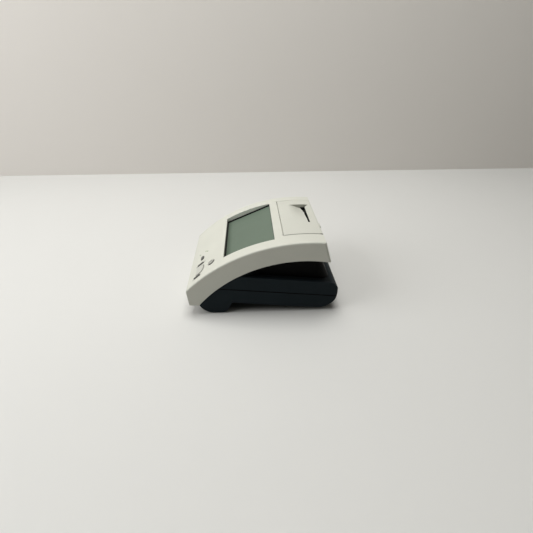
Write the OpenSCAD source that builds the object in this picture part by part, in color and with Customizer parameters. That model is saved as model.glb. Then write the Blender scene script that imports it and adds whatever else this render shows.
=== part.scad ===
// Portable electrocardiograph: an arched cover with a sunk display and a short
// row of keys, over a sloping base with a set-back neck. A thermal chart
// printer works under the hinged door behind the display.
// Millimetres, +Z up, nose toward -Y. The origin is on the table, under the
// middle of the case.

/* [Case] */
// Overall width of the case
body_w = 152; // [150:1:158]
// Overall length from the nose to the rounded rear end
body_l = 188; // [186:1:194]
// Height of the cover's crown above the table
body_h = 97; // [96:0.5:100]
// Thickness of every moulded wall
wall = 2.5; // [2.2:0.1:2.8]
// Gap at the seams between mouldings
seam = 0.3; // [0.2:0.05:0.4]
// Gap of the reveal line between the base's two mouldings
case_gap = 0.6; // [0.3:0.05:0.8]

/* [Cover arch] */
// Radius of the cover's crown line, seen from the side
arch_r = 210; // [205:1:216]
// Distance of the crown behind the nose
arch_y = 149; // [147:0.5:151]
// Distance of the cover's rear edge behind the nose, at the crown line
cover_l = 167.3; // [166:0.5:169]
// Lean of the cover's rear face from the vertical
rear_lean = 17; // [15:0.5:18]
// Lean of the nose's front face from the vertical
nose_lean = 6.5; // [4:0.5:9]
// Rounding of the nose's upper corner
nose_r = 4; // [2:0.5:6]
// Height of the nose's flat underside above the table
nose_z = 13; // [12:0.5:14]
// Height of the side band below the crown
band_h = 24.2; // [23:0.2:25]
// Radius of the side band's lower edge
under_r = 168; // [165:1:172]
// Distance of the lower edge's highest point behind the nose
under_y = 143; // [141:0.5:145]
// Rounding of the cover's long edges
edge_r = 2; // [1:0.25:2.2]
// Rounding of the cover's rear corners in plan
cover_corner = 3; // [2:0.5:4]

/* [Base] */
// Downward slope of the base toward the rear
slab_tilt = 6; // [5:0.25:7]
// Height of the base's underside over the slope's origin
slab_lift = 21.4; // [21:0.1:22.5]
// Height of the case seam over the slope's origin
seam_w = 40.6; // [39:0.2:42]
// Radius of the rear end above its tip
bull_up = 14; // [13:0.25:15]
// Radius of the rear end below its tip
bull_low = 24; // [23:0.25:25]
// Rounding of the base's rear corners in plan
base_corner = 5; // [3:0.5:7]
// Set-back of the neck from the side of the base
neck_in = 9; // [7:0.5:10]
// Set-back of the neck's foot behind the cover's rear face
neck_back = 7; // [6:0.5:8]
// Lean of the neck's rear face from the vertical
neck_lean = 23; // [20:0.5:24]
// Rounding of the neck's rear corners
neck_corner = 12; // [9:0.5:14]
// Where the side recess starts to cut in behind the nose
recess_from = 62; // [60:1:66]
// Where the side recess reaches its full depth behind the nose
recess_full = 90; // [84:1:96]

/* [Front foot] */
// Radius of the foot's toe
toe_r = 20; // [18:0.5:22]
// Distance of the toe's lowest point behind the nose
toe_y = 33; // [31:0.5:35]
// Length of the foot's flat
foot_flat = 9.5; // [7:0.5:11]
// Radius of the foot's heel
heel_r = 8; // [6:0.5:9]
// Slope of the foot's rear flank
heel_slope = 61; // [52:1:68]
// Height of the mouldings above the table on their rubber pads
pad_proud = 1; // [0.6:0.1:1.6]
// Diameter of the rubber pads
pad_d = 14; // [10:0.5:16]
// Sideways distance of the pads from the middle
pad_x = 56; // [50:0.5:60]
// Distance of the rear pads behind the nose
rear_pad_y = 159; // [154:0.5:162]
// Sideways distance of the front pads from the middle
front_pad_x = 40; // [34:1:46]

/* [Display] */
// Distance of the window from each side of the case
lcd_side = 18.25; // [17.25:0.25:21]
// Length of the window along its slope
lcd_l = 68; // [65:0.5:69]
// Slope of the sunk display
lcd_tilt = 24; // [22:0.25:25]
// Distance of the window's centre behind the nose
lcd_y = 77.8; // [77:0.1:79]
// Depth of the display well at the window's rear edge
lcd_lip = 1; // [0.8:0.1:1.6]
// Width of the black gasket that shows inside the window
gasket_rim = 1; // [0.6:0.1:2]
// Width of the gasket under the cover, outside the window
gasket_lap = 1.5; // [1:0.1:2]
// Thickness of the gasket
gasket_t = 4.2; // [3:0.1:5]
// Thickness of the display glass
glass_t = 1.8; // [1:0.1:2.5]
// Thickness of the display module
module_t = 7; // [5:0.25:8]
// Width of the module's fixing ears
ear_w = 8; // [7:0.5:9]

/* [Keys] */
// Height of the key tops over the cover
key_proud = 1; // [0.6:0.1:1.6]
// Travel of every key
key_travel = 0.8; // [0.5:0.1:1]
// Clearance round every key
key_gap = 0.5; // [0.25:0.05:0.6]
// Width of the retaining flange under the cover
key_flange = 1; // [0.8:0.1:1.2]
// Thickness of the retaining flange
flange_t = 1.2; // [0.8:0.1:1.6]
// Thickness of the silicone key mat
mat_t = 1.4; // [1:0.1:2]
// Thickness of every circuit board
pcb_t = 1.6; // [1:0.1:2]

/* [Printer door] */
// Left edge of the printer door, from the middle of the case
door_left = -60.5; // [-61.5:0.1:-59]
// Right edge of the printer door, from the middle of the case
door_right = 51.3; // [50:0.1:52.5]
// Gap round the printer door
door_gap = 0.6; // [0.35:0.05:0.8]
// Distance of the door's hinge behind the nose
hinge_y = 122.2; // [121.5:0.1:123]
// Thickness of the door's skin
door_t = 2.6; // [2.4:0.1:3]
// Radius of the door's rounded front edge
knuckle_r = 2.3; // [2.1:0.05:2.5]
// Radius of the hinge rod
rod_r = 1; // [0.8:0.05:1.1]
// Running clearance of every shaft in its bore, on the radius
run_gap = 0.05; // [0.03:0.01:0.08]
// Depth of the door's rear lip below the crown
lip_h = 12; // [10:0.5:14]
// Left end of the paper slot
slot_x0 = -43; // [-44:0.5:-42]
// Right end of the paper slot
slot_x1 = 18; // [16:0.5:19]
// Distance of the paper slot behind the nose
slot_y = 155.8; // [155:0.1:157]
// Width of the paper slot
slot_w = 2.4; // [2:0.1:3]
// Greatest depth of the scoop at its left end
scoop_d = 6; // [4:0.25:7]
// Length of the scoop ahead of the slot
scoop_l = 22; // [18:0.5:24]
// Reach of the slot's wider left end behind the slot
relief_l = 7; // [4:0.5:8]
// Width of the finger tab on the door's rear edge
tab_w = 9; // [6:0.5:12]

/* [Printer] */
// Width of the chart paper
paper_w = 57; // [56:0.5:57.5]
// Depth of a full paper roll below the crown
roll_top = 19; // [18.5:0.25:21]
// Clearance between the roll's tub and the circuits under it
roll_gap = 4; // [2:0.25:6]
// Radius of the paper core
core_r = 6; // [5:0.25:7]
// Distance of the roll's axis behind the nose
reel_y = 134; // [133:0.5:135]
// Distance of the platen's axis behind the nose
platen_y = 150.5; // [150:0.1:151]
// Depth of the platen's axis below the crown
platen_drop = 17; // [16.5:0.25:18]
// Radius of the rubber platen
platen_r = 5.3; // [5:0.1:5.5]
// Radius of the platen shaft
shaft_r = 1.5; // [1.2:0.1:2]
// Thickness of the printer's side plates
plate_t = 2.5; // [2:0.1:3]
// Module of the gear teeth
gear_module = 0.8; // [0.7:0.05:0.85]
// Teeth on the platen gear
platen_teeth = 20; // [18:1:21]
// Teeth on the idler gear
idler_teeth = 26; // [24:1:28]
// Teeth on the motor pinion
pinion_teeth = 12; // [11:1:14]
// Thickness of the gears
gear_t = 3.5; // [2.5:0.25:4]
// Play between the flanks of meshed teeth
backlash = 0.16; // [0.1:0.02:0.25]
// Radius of the stepper motor
motor_r = 10; // [8.5:0.25:10.5]
// Length of the stepper motor
motor_l = 18; // [14:0.5:19]

/* [Power and circuits] */
// Width of the battery pack
batt_w = 96; // [80:1:100]
// Length of the battery pack
batt_l = 62; // [50:1:64]
// Thickness of the battery pack, a row of round cells
batt_t = 19.2; // [16:0.2:20.4]
// Distance of the battery's centre along the base
batt_v = 111; // [109:0.5:113]
// Clearance round the battery pack
batt_gap = 0.5; // [0.3:0.1:0.8]
// Distance of the main board from each side of the case
board_side = 13; // [12:0.5:16]
// Length of the main board
board_l = 86; // [80:1:88]
// Height of the main board over the slope's origin
board_lift = 48.6; // [48:0.1:49.5]
// Width of the shielded input stage
shield_w = 40; // [36:1:44]
// Length of the shielded input stage
shield_l = 44; // [40:1:48]
// Height of the shielded input stage
shield_h = 5.6; // [5:0.1:6]
// Radius of the screw shanks
screw_r = 1.4; // [1.2:0.05:1.5]

/* [Hidden] */

$fn = 48;
fine = 180;                    // segments of the long arcs
big = 300;                     // longer than any part of the case
tap_gap = 0.05;                // round a screw in the boss that it cuts into
hole_gap = 0.2;                // round a screw in the piece that it clamps

// --- Arch and side outline -------------------------------------------------
arch_z = body_h - arch_r;
under_cz = body_h - band_h - under_r;
function top_z(y) = arch_z + sqrt(pow(arch_r, 2) - pow(y - arch_y, 2));
function under_z(y) = under_cz + sqrt(pow(under_r, 2) - pow(y - under_y, 2));
function arch_lean(y) = asin((arch_y - y) / arch_r);

// The nose's front face passes under a corner circle that touches Y = 0.
nose_c = [nose_r, arch_z + sqrt(pow(arch_r - nose_r, 2) - pow(nose_r - arch_y, 2))];
nose_n = [cos(nose_lean), sin(nose_lean)];
nose_off = nose_n * nose_c - nose_r;
function nose_face_y(z, inset) = (nose_off + inset - z * nose_n[1]) / nose_n[0];

// Y of the leaning rear face, carried down to the table
rear_y0 = cover_l + top_z(cover_l) * tan(rear_lean);
function rear_face_y(z) = rear_y0 - z * tan(rear_lean);

// --- Sloping base, in its own (v, w) frame ---------------------------------
slab_top = slab_lift + bull_low + bull_up;
bull_w = slab_lift + bull_low;
bull_v = (body_l - bull_up - bull_w * sin(slab_tilt)) / cos(slab_tilt);
low_v = bull_v - (bull_low - bull_up);
floor_w = slab_lift + wall;
function slab_y(v, w) = v * cos(slab_tilt) + w * sin(slab_tilt);
function slab_z(v, w) = w * cos(slab_tilt) - v * sin(slab_tilt);
function slab_v(y, z) = y * cos(slab_tilt) - z * sin(slab_tilt);
function level_z(w, y) = (w - y * sin(slab_tilt)) / cos(slab_tilt);
case_low = seam_w - case_gap / 2;
case_high = seam_w + case_gap / 2;

// Y of the neck's rear face, which turns about its foot on the ledge
neck_foot = level_z(slab_top, cover_l);
neck_y0 = rear_face_y(neck_foot) - neck_back + neck_foot * tan(neck_lean);
function neck_face_y(z) = neck_y0 - z * tan(neck_lean);

// --- Display ---------------------------------------------------------------
lcd_w = body_w - 2 * lcd_side;
lcd_rear_y = lcd_y + cos(lcd_tilt) * lcd_l / 2;
lcd_front_y = lcd_y - cos(lcd_tilt) * lcd_l / 2;
lcd_rear_z = top_z(lcd_rear_y) - lcd_lip;
lcd_front_z = lcd_rear_z - sin(lcd_tilt) * lcd_l;
lcd_z = (lcd_rear_z + lcd_front_z) / 2;
well_wall = 2;
glass_w = lcd_w + 2 * gasket_lap;
glass_l = lcd_l + 2 * gasket_lap;
glass_top = -gasket_t;
module_top = glass_top - glass_t;
module_low = module_top - module_t;
ear_x = glass_w / 2 + ear_w / 2;
ear_v = lcd_l / 2 - 8;
ear_t = 1.4;
display_board_w = glass_w - 22.5;
display_board_l = glass_l - 15;
plug_w = 44;                           // the display board's plug strip
plug_l = 8;

// --- Keys: [x, distance behind the nose], kept with the cover's near side ----
side_x = body_w / 2;
power_at = [side_x - 24.6, 30.5];
start_at = [side_x - 25.5, 15.6];
select_at = [side_x - 53.5, 16.5];
near_bar_at = [side_x - 12, 13.4];
far_bar_at = [side_x - 39, 15.6];
led_at = [[side_x - 69, 11.5], [side_x - 67.5, 20], [side_x - 64.5, 22.5]];
key_low = wall + seam + flange_t;      // underside of the flanges, below the arch
mat_y = 21.5;                          // where the key board is square to the arch
mat_drop = key_low + key_travel + 0.9;
mat_w = 80;
mat_l = 34;
mat_x = side_x - 46;
mat_edge = 4;                          // from the mat's edge to its posts
key_posts_at = [[mat_x - mat_w / 2 + mat_edge, mat_edge - mat_l / 2],
    [(select_at[0] + far_bar_at[0]) / 2 + 1.5, mat_edge - mat_l / 2],
    [mat_x - mat_w / 2 + mat_edge, mat_l / 2 - mat_edge],
    [mat_x + mat_w / 2 - mat_edge, mat_l / 2 - mat_edge]];

// --- Printer ---------------------------------------------------------------
hinge_z = top_z(hinge_y) - knuckle_r;
door_w = door_right - door_left;
door_mid = (door_right + door_left) / 2;
door_low = body_h - lip_h;
ear_len = 4;
rod_x0 = door_left - door_gap - ear_len;
rod_x1 = door_right + door_gap + ear_len;
board_w = body_w - 2 * board_side;
board_top = board_lift + pcb_t;
tub_gap = 2;                            // round a full roll
tub_t = 2;
tub_low = level_z(board_top + shield_h, reel_y) + roll_gap;
roll_r = (body_h - roll_top - tub_gap - tub_t - tub_low) / 2;
reel_z = body_h - roll_top - roll_r;
platen_z = body_h - platen_drop;
paper_x = (slot_x0 + slot_x1) / 2;
bay_x0 = paper_x - paper_w / 2 - 2;     // inner faces of the side plates
bay_x1 = paper_x + paper_w / 2 + 2;
tub_r = roll_r + tub_gap;
gear_x = bay_x1 + plate_t + 1;
bracket_t = 2;
motor_x = gear_x + gear_t + 1 + bracket_t;
idler_r = gear_module * idler_teeth / 2;
platen_reach = gear_module * (platen_teeth + idler_teeth) / 2;
motor_reach = gear_module * (pinion_teeth + idler_teeth) / 2;
idler_dir = 205;                        // from the platen to the idler
motor_dir = 236;                        // from the idler to the motor
idler_y = platen_y + platen_reach * cos(idler_dir);
idler_z = platen_z + platen_reach * sin(idler_dir);
motor_y = idler_y + motor_reach * cos(motor_dir);
motor_z = idler_z + motor_reach * sin(motor_dir);
head_y = platen_y + platen_r + 0.3;
head_t = 2;
sink_t = 4;
spring_l = 3;
back_y = head_y + head_t + sink_t + spring_l;
ledge_x = 60;                           // reach of the printer's fixing ears
lug_l = 7.2;                            // length of each fixing ear
lug_t = 2.5;
foot_ys = [hinge_y - 3, back_y - 1];
boss_top = body_h - 20;
lug_top = boss_top + lug_t;
deck_open = 52;                         // half width of the opening in the deck
deck_y0 = recess_from - 1;
deck_y1 = neck_face_y(under_z(cover_l - 5)) - wall - 0.2;
sill_z = under_z(deck_y1) + wall + 1;   // the chassis stays above this behind the opening

// --- Circuits ---------------------------------------------------------------
bay_wall = 2;
batt_low = floor_w + seam;
board_v = 120;
pillar_x = board_w / 2 - 5;
pillar_v = [board_v - board_l / 2 + 5, board_v + board_l / 2 - 5];
conn_rise = 55;                         // height of the rear connectors
io_deep = 11;                           // from the rear wall's face to the connector board
io_post_x = body_w / 2 - neck_in - 15;
patient_y = 135;
patient_z = 57;
dc_x = 8 - io_post_x;
data_x = -12;
ground_x = io_post_x - 14;
case_screw_x = body_w / 2 - wall - 5;
case_screw_v = [100, 144];
foot_screw_x = body_w / 2 - 10;
foot_screw_y = 45;
cover_screw_x = body_w / 2 - neck_in + 2.9;
cover_screw_y = [126, 156];
cover_seat = 2;                         // depth of the sunk heads of the cover screws

// ==== Helpers ===============================================================

// Carries an outline drawn in (Y, Z) along X, from x0 to x1.
module along_x(x0, x1)
    translate([x0, 0, 0]) rotate([90, 0, 90]) linear_extrude(x1 - x0) children();

// A shaft or bore along X.
module x_rod(r, x0, x1, y, z)
    translate([x0, y, z]) rotate([0, 90, 0]) cylinder(r = r, h = x1 - x0);

// The frame of the sloping base: Y runs along it and Z is its height.
module in_slab() rotate([-slab_tilt, 0, 0]) children();

// The frame of the display: the cover's well ends at its Z = 0.
module in_display() translate([0, lcd_y, lcd_z]) rotate([lcd_tilt, 0, 0]) children();

// A frame on the arch at (x, y), with +Z out of the cover.
module on_arch(at)
    translate([at[0], arch_y, arch_z]) rotate([arch_lean(at[1]), 0, 0])
        translate([0, 0, arch_r]) children();

// A frame on the neck's rear face at (x, z), with +Z out of the wall.
module on_rear(x, z)
    translate([x, neck_face_y(z), z]) rotate([neck_lean - 90, 0, 0]) children();

// A centred plate with rounded corners, with its underside at Z = 0.
module rounded_plate(w, l, t, r)
    linear_extrude(t) union() {
        square([w, l - 2 * r], center = true);
        square([w - 2 * r, l], center = true);
        for (x = [r - w / 2, w / 2 - r], y = [r - l / 2, l / 2 - r]) translate([x, y]) circle(r);
    }

// Solid of revolution about the arch's axis, with rounded long edges.
module arch_drum(r, half_w, round_r)
    translate([0, arch_y, arch_z]) rotate([0, 90, 0]) rotate_extrude($fn = fine) union() {
        translate([0, round_r - half_w]) square([r, 2 * (half_w - round_r)]);
        translate([0, -half_w]) square([r - round_r, 2 * half_w]);
        for (s = [-1, 1]) translate([r - round_r, s * (half_w - round_r)]) circle(round_r);
    }

// Everything under the side band's lower edge, grown by a margin.
module under_drum(margin)
    translate([-big / 2, under_y, under_cz]) rotate([0, 90, 0])
        cylinder(r = under_r + margin, h = big, $fn = fine);

// Everything ahead of a rear face that leans forward, with rounded corners.
module leaning_block(half_w, y0, lean, corner)
    translate([0, y0, 0]) rotate([lean, 0, 0])
        linear_extrude(big / 2) union() {
            translate([-half_w, -big]) square([2 * half_w, big - corner]);
            translate([corner - half_w, -big]) square([2 * (half_w - corner), big]);
            for (s = [-1, 1]) translate([s * (half_w - corner), -corner]) circle(corner);
        }

// Everything behind the nose's front face and above its underside.
module nose_block(inset)
    along_x(-body_w, body_w) polygon([
        [nose_face_y(nose_z + inset, inset), nose_z + inset],
        [nose_face_y(big / 2, inset), big / 2],
        [big, big / 2],
        [big, nose_z + inset]]);

// The sharp corner that the nose's rounding takes away.
module nose_corner_waste()
    along_x(-body_w, body_w) difference() {
        polygon([nose_c,
            nose_c - 3 * nose_r * nose_n,
            nose_c + 4 * nose_r * [-0.9, 0.6],
            nose_c + 3 * nose_r * (nose_c - [arch_y, arch_z]) / (arch_r - nose_r)]);
        translate(nose_c) circle(nose_r);
    }

// Plan of the base with its rounded rear corners, as a tall block.
module base_block(inset)
    let (half_w = body_w / 2 - inset, end = body_l - inset, r = base_corner)
    translate([0, 0, -1]) linear_extrude(big / 2) union() {
        translate([-half_w, -1]) square([2 * half_w, end + 1 - r]);
        translate([r - half_w, -1]) square([2 * (half_w - r), end + 1]);
        for (s = [-1, 1]) translate([s * (half_w - r), end - r]) circle(r);
    }

// The sloping base with its rounded rear end, between two heights.
module slab(inset, w0, w1)
    in_slab() along_x(inset - body_w / 2, body_w / 2 - inset) intersection() {
        translate([0, w0]) square([big, w1 - w0]);
        union() {
            translate([0, bull_w]) square([bull_v, bull_up - inset]);
            translate([bull_v, bull_w]) circle(bull_up - inset);
            translate([0, slab_lift + inset]) square([low_v, bull_low - inset]);
            intersection() {
                translate([low_v, bull_w]) circle(bull_low - inset);
                translate([0, 0]) square([big, bull_w]);
            }
        }
    }

// A pan-head screw that stands on its head's seat at Z = 0, shank downward.
module screw(shank_l, head_r = 2.8, head_h = 1.8) {
    translate([0, 0, -shank_l]) cylinder(r = screw_r, h = shank_l);
    difference() {
        cylinder(r = head_r, h = head_h);
        for (a = [0, 90]) rotate([0, 0, a])
            translate([-head_r * 0.6, -0.4, head_h * 0.5]) cube([head_r * 1.2, 0.8, head_h]);
    }
}

// ==== Cover =================================================================

module cover_outer()
    difference() {
        intersection() {
            arch_drum(arch_r, body_w / 2, edge_r);
            leaning_block(body_w / 2, rear_y0, rear_lean, cover_corner);
            nose_block(0);
        }
        under_drum(0);
        nose_corner_waste();
    }

module cover_hollow()
    intersection() {
        arch_drum(arch_r - wall, body_w / 2 - wall, 0.5);
        leaning_block(body_w / 2 - wall, rear_y0 - wall, rear_lean, cover_corner - 1);
        nose_block(wall);
    }

// The opening over the display, which goes straight up from the window's edges.
module window()
    along_x(-lcd_w / 2, lcd_w / 2) polygon([
        [lcd_front_y, lcd_front_z - 1],
        [lcd_rear_y, lcd_rear_z - 1],
        [lcd_rear_y, big / 2],
        [lcd_front_y, big / 2]]);

module display_well()
    intersection() {
        in_display() translate([-lcd_w / 2 - well_wall, -lcd_l / 2 - well_wall, 0])
            cube([lcd_w + 2 * well_wall, lcd_l + 2 * well_wall, 20]);
        arch_drum(arch_r - wall / 2, body_w / 2, edge_r);
    }

module display_posts()
    intersection() {
        in_display() for (x = [-ear_x, ear_x], v = [-ear_v, ear_v])
            translate([x, v, module_top]) cylinder(r = 3, h = 30);
        arch_drum(arch_r - wall / 2, body_w / 2, edge_r);
    }

// Posts that carry the key board under the nose.
module key_posts()
    on_arch([0, mat_y]) for (at = key_posts_at)
        translate([at[0], at[1], -mat_drop]) cylinder(r = 2.5, h = mat_drop - wall / 2);

module cover_posts()
    intersection() {
        union() {
            for (s = [-1, 1], y = cover_screw_y)
                boss(s * cover_screw_x, y, under_z(y) + wall + cover_seat, body_h, 3.2);
            for (s = [-1, 1])
                boss(s * foot_screw_x, foot_screw_y, nose_z + 5, body_h, 3.4);
        }
        arch_drum(arch_r - wall / 2, body_w / 2, edge_r);
    }

// Ears that hold the ends of the door's hinge rod.
module hinge_ears()
    for (x = [rod_x0 + ear_len / 2, rod_x1 - ear_len / 2]) translate([x, hinge_y, hinge_z])
        intersection() {
            rotate([0, 90, 0]) cylinder(r = 5, h = ear_len, center = true);
            translate([-ear_len / 2, -5, -5]) cube([ear_len, 10, 5 + knuckle_r - 0.4]);
        }

module door_opening()
    let (x0 = door_left - door_gap, w = door_w + 2 * door_gap, front = knuckle_r + door_gap)
    union() {
        translate([x0, hinge_y, door_low - door_gap]) cube([w, big, big]);
        translate([x0, hinge_y - front, door_low - door_gap]) cube([w, 2 * front, big]);
    }

module top_cover() color("ivory")
    difference() {
        union() {
            difference() {
                cover_outer();
                cover_hollow();
            }
            display_well();
            display_posts();
            key_posts();
            cover_posts();
            hinge_ears();
        }
        // window, and the pocket that holds gasket, glass and module
        window();
        in_display() translate([-glass_w / 2 - seam, -glass_l / 2 - seam, module_low])
            cube([glass_w + 2 * seam, glass_l + 2 * seam, -module_low]);
        in_display() for (x = [-ear_x, ear_x], v = [-ear_v, ear_v])
            boss(x, v, module_top - 1, module_top + 6, screw_r + tap_gap);
        key_holes();
        door_opening();
        x_rod(rod_r + run_gap, rod_x0 - 1, rod_x1 + 1, hinge_y, hinge_z);
        on_arch([0, mat_y]) for (at = key_posts_at)
            boss(at[0], at[1], -mat_drop - 1, -wall + 0.8, screw_r + tap_gap);
        for (s = [-1, 1], y = cover_screw_y)
            boss(s * cover_screw_x, y, under_z(y), under_z(y) + 12, screw_r + tap_gap);
        for (s = [-1, 1])
            boss(s * foot_screw_x, foot_screw_y, nose_z, nose_z + 22, screw_r + tap_gap);
    }

// ==== Display ===============================================================

module lcd_gasket() color("black")
    in_display() difference() {
        translate([0, 0, -gasket_t]) rounded_plate(glass_w, glass_l, gasket_t, 1);
        translate([gasket_rim - lcd_w / 2, gasket_rim - lcd_l / 2, -gasket_t - 1])
            cube([lcd_w - 2 * gasket_rim, lcd_l - 2 * gasket_rim, gasket_t + 2]);
    }

module lcd_glass() color("darkseagreen")
    in_display() translate([0, 0, module_top]) rounded_plate(glass_w, glass_l, glass_t, 1);

module lcd_module() color("silver")
    in_display() difference() {
        union() {
            translate([0, 0, module_low]) rounded_plate(glass_w - 1, glass_l - 1, module_t, 1);
            for (v = [-ear_v, ear_v]) translate([0, v, module_top - ear_t])
                rounded_plate(2 * ear_x + 7, 8, ear_t, 2);
        }
        for (x = [-ear_x, ear_x], v = [-ear_v, ear_v])
            translate([x, v, module_low]) cylinder(r = screw_r + 0.2, h = module_t + 1);
    }

module display_board() color("darkgreen")
    in_display() union() {
        translate([0, 0, module_low - pcb_t]) rounded_plate(display_board_w, display_board_l, pcb_t, 1);
        translate([-plug_w / 2, 10, module_low - pcb_t - 3]) cube([plug_w, plug_l, 3]);
    }

// ==== Keys ==================================================================

// A key: its cap through the cover, and the flange that keeps it in.
module key(at) on_arch(at) {
    translate([0, 0, -wall - seam]) linear_extrude(wall + seam + key_proud) children(0);
    translate([0, 0, -key_low]) linear_extrude(flange_t) children(1);
}

// Key outlines, grown by a margin
module round_shape(m) circle(4 + m);
module oval_shape(m) union() {
    square([4, 2 * (2.4 + m)], center = true);
    for (s = [-2, 2]) translate([s, 0]) circle(2.4 + m);
}
module bar_shape(m) union() {
    square([2 * (1.3 + m), 8], center = true);
    for (s = [-4, 4]) translate([0, s]) circle(1.3 + m);
}
module pad_shape(m) union() {
    translate([-9.5 - m, -5.5 - m]) square([19 + 2 * m, 7 + m]);
    intersection() {
        translate([0, -5]) circle(11.5 + m);
        translate([-9.5 - m, 1.4]) square([19 + 2 * m, 12]);
    }
}

module key_holes() {
    for (k = [0 : 4])
        on_arch([power_at, start_at, select_at, near_bar_at, far_bar_at][k])
            translate([0, 0, -wall - 2]) linear_extrude(wall + 6)
                if (k == 0) round_shape(key_gap);
                else if (k == 1) pad_shape(key_gap);
                else if (k == 2) oval_shape(key_gap);
                else bar_shape(key_gap);
    for (at = led_at) on_arch(at) translate([0, 0, -wall - 2]) cylinder(r = 1.05, h = wall + 6);
}

module power_key() color("lightgray")
    difference() {
        key(power_at) { round_shape(0); round_shape(key_flange); }
        on_arch(power_at) translate([0, 0, key_proud + 6.2]) sphere(r = 7);
    }
module start_key() color("gainsboro")
    key(start_at) { pad_shape(0); pad_shape(key_flange); }
module select_key() color("dimgray")
    key(select_at) { oval_shape(0); oval_shape(key_flange); }
module near_bar_key() color("gray")
    key(near_bar_at) { bar_shape(0); bar_shape(key_flange); }
module far_bar_key() color("gray")
    key(far_bar_at) { bar_shape(0); bar_shape(key_flange); }

module led_pipes() color("palegreen")
    for (at = led_at) on_arch(at) union() {
        translate([0, 0, -wall - seam]) cylinder(r = 0.95, h = wall + seam + 0.2);
        translate([0, 0, -key_low]) cylinder(r = 1.5, h = flange_t);
    }

// A plate under the keys, with its top at a depth below the arch.
module key_plate(depth, t, corner)
    on_arch([0, mat_y]) difference() {
        translate([mat_x, 0, -depth - t]) rounded_plate(mat_w, mat_l, t, corner);
        for (at = key_posts_at) boss(at[0], at[1], -depth - t - 1, 0, screw_r + hole_gap);
    }

module key_mat() color("darkgray")
    key_plate(mat_drop, mat_t, 2);

module key_board() color("darkgreen")
    key_plate(mat_drop + mat_t, pcb_t, 1);

// ==== Base mouldings ========================================================

// The neck between base and cover, shrunk by a wall on every side.
module neck(inset)
    intersection() {
        leaning_block(body_w / 2 - neck_in - inset + 0.01, neck_y0 - inset, neck_lean,
            neck_corner - inset);
        translate([-body_w / 2, recess_from - 8, 0]) cube([body_w, body_l, big / 2]);
    }

// The wedge that lets the neck widen to the full base ahead of the recess.
module neck_flare(inset)
    linear_extrude(big / 2) polygon([
        [-body_w / 2 + inset, recess_from - 8], [body_w / 2 - inset, recess_from - 8],
        [body_w / 2 - inset, recess_from],
        [body_w / 2 - neck_in - inset, recess_full],
        [neck_in + inset - body_w / 2, recess_full],
        [-body_w / 2 + inset, recess_from]]);

// Everything inside the cover's side and rear walls.
module deck_block()
    leaning_block(body_w / 2 - wall - seam, rear_y0 - wall - seam, rear_lean, cover_corner - 1);

module deck()
    difference() {
        intersection() {
            deck_block();
            under_drum(wall);
            translate([-body_w / 2, recess_from, 0]) cube([body_w, big, big]);
        }
        under_drum(0);
    }

module boss(x, y, z0, z1, r)
    translate([x, y, z0]) cylinder(r = r, h = z1 - z0);

module middle_case() color("darkslategray")
    difference() {
        union() {
            difference() {
                union() {
                    intersection() {
                        slab(0, case_high, slab_top);
                        under_drum(-seam);
                        base_block(0);
                    }
                    intersection() {
                        union() { neck(0); neck_flare(0); }
                        under_drum(wall / 2 - seam);
                        in_slab() translate([-big / 2, 0, slab_top - wall]) cube(big);
                        deck_block();
                    }
                    intersection() {
                        neck_flare(0);
                        under_drum(-seam);
                        in_slab() translate([-big / 2, 0, slab_top - wall]) cube(big);
                    }
                    deck();
                }
                intersection() {
                    slab(wall, seam_w - 1, slab_top);
                    base_block(wall);
                }
                intersection() {
                    union() { neck(wall); neck_flare(wall); }
                    in_slab() translate([-big / 2, 0, seam_w]) cube(big);
                    under_drum(0);
                }
                translate([-deck_open, deck_y0, 0]) cube([2 * deck_open, deck_y1 - deck_y0, big]);
            }
            // bosses under the printer's ears, on the deck
            for (x = [-ledge_x + 3, ledge_x - 3], y = foot_ys)
                boss(x, y, under_z(y) + wall / 2, boss_top, 3.6);
            // bosses under the cover's rear posts, and behind the connector board
            for (s = [-1, 1], y = cover_screw_y)
                boss(s * cover_screw_x, y, under_z(y) + wall / 2, under_z(y) + wall + cover_seat, 3.2);
            for (s = [-1, 1]) on_rear(s * io_post_x, conn_rise) boss(0, 0, -io_deep, -wall / 2, 3);
            // columns that take the case screws
            intersection() {
                in_slab() for (s = [-1, 1], v = case_screw_v)
                    boss(s * case_screw_x, v, case_high, slab_top - wall / 2, 4);
                base_block(wall / 2);
            }
        }
        for (x = [-ledge_x + 3, ledge_x - 3], y = foot_ys)
            boss(x, y, boss_top - 9, boss_top + 1, screw_r + tap_gap);
        in_slab() for (s = [-1, 1], v = case_screw_v)
            boss(s * case_screw_x, v, seam_w - 1, slab_top - wall, screw_r + tap_gap);
        for (s = [-1, 1], y = cover_screw_y) {
            boss(s * cover_screw_x, y, under_z(y) - 2, under_z(y) + wall + 3, screw_r + hole_gap);
            boss(s * cover_screw_x, y, under_z(y) - 2, under_z(y) + cover_seat, 2.5);
        }
        for (s = [-1, 1])
            on_rear(s * io_post_x, conn_rise) boss(0, 0, -io_deep - 1, -wall - 1, screw_r + tap_gap);
        // patient connector, power inlet, data port and ground pin
        translate([-body_w / 2 + neck_in - 2, patient_y - 14, patient_z - 5.2])
            cube([wall + 4, 28, 10.4]);
        on_rear(dc_x, conn_rise) boss(0, 0, -6, 6, 4.7);
        on_rear(data_x, conn_rise) translate([-6.2, -5.7, -6]) cube([12.4, 11.4, 12]);
        on_rear(ground_x, conn_rise) boss(0, 0, -6, 6, 3.1);
    }

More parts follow.
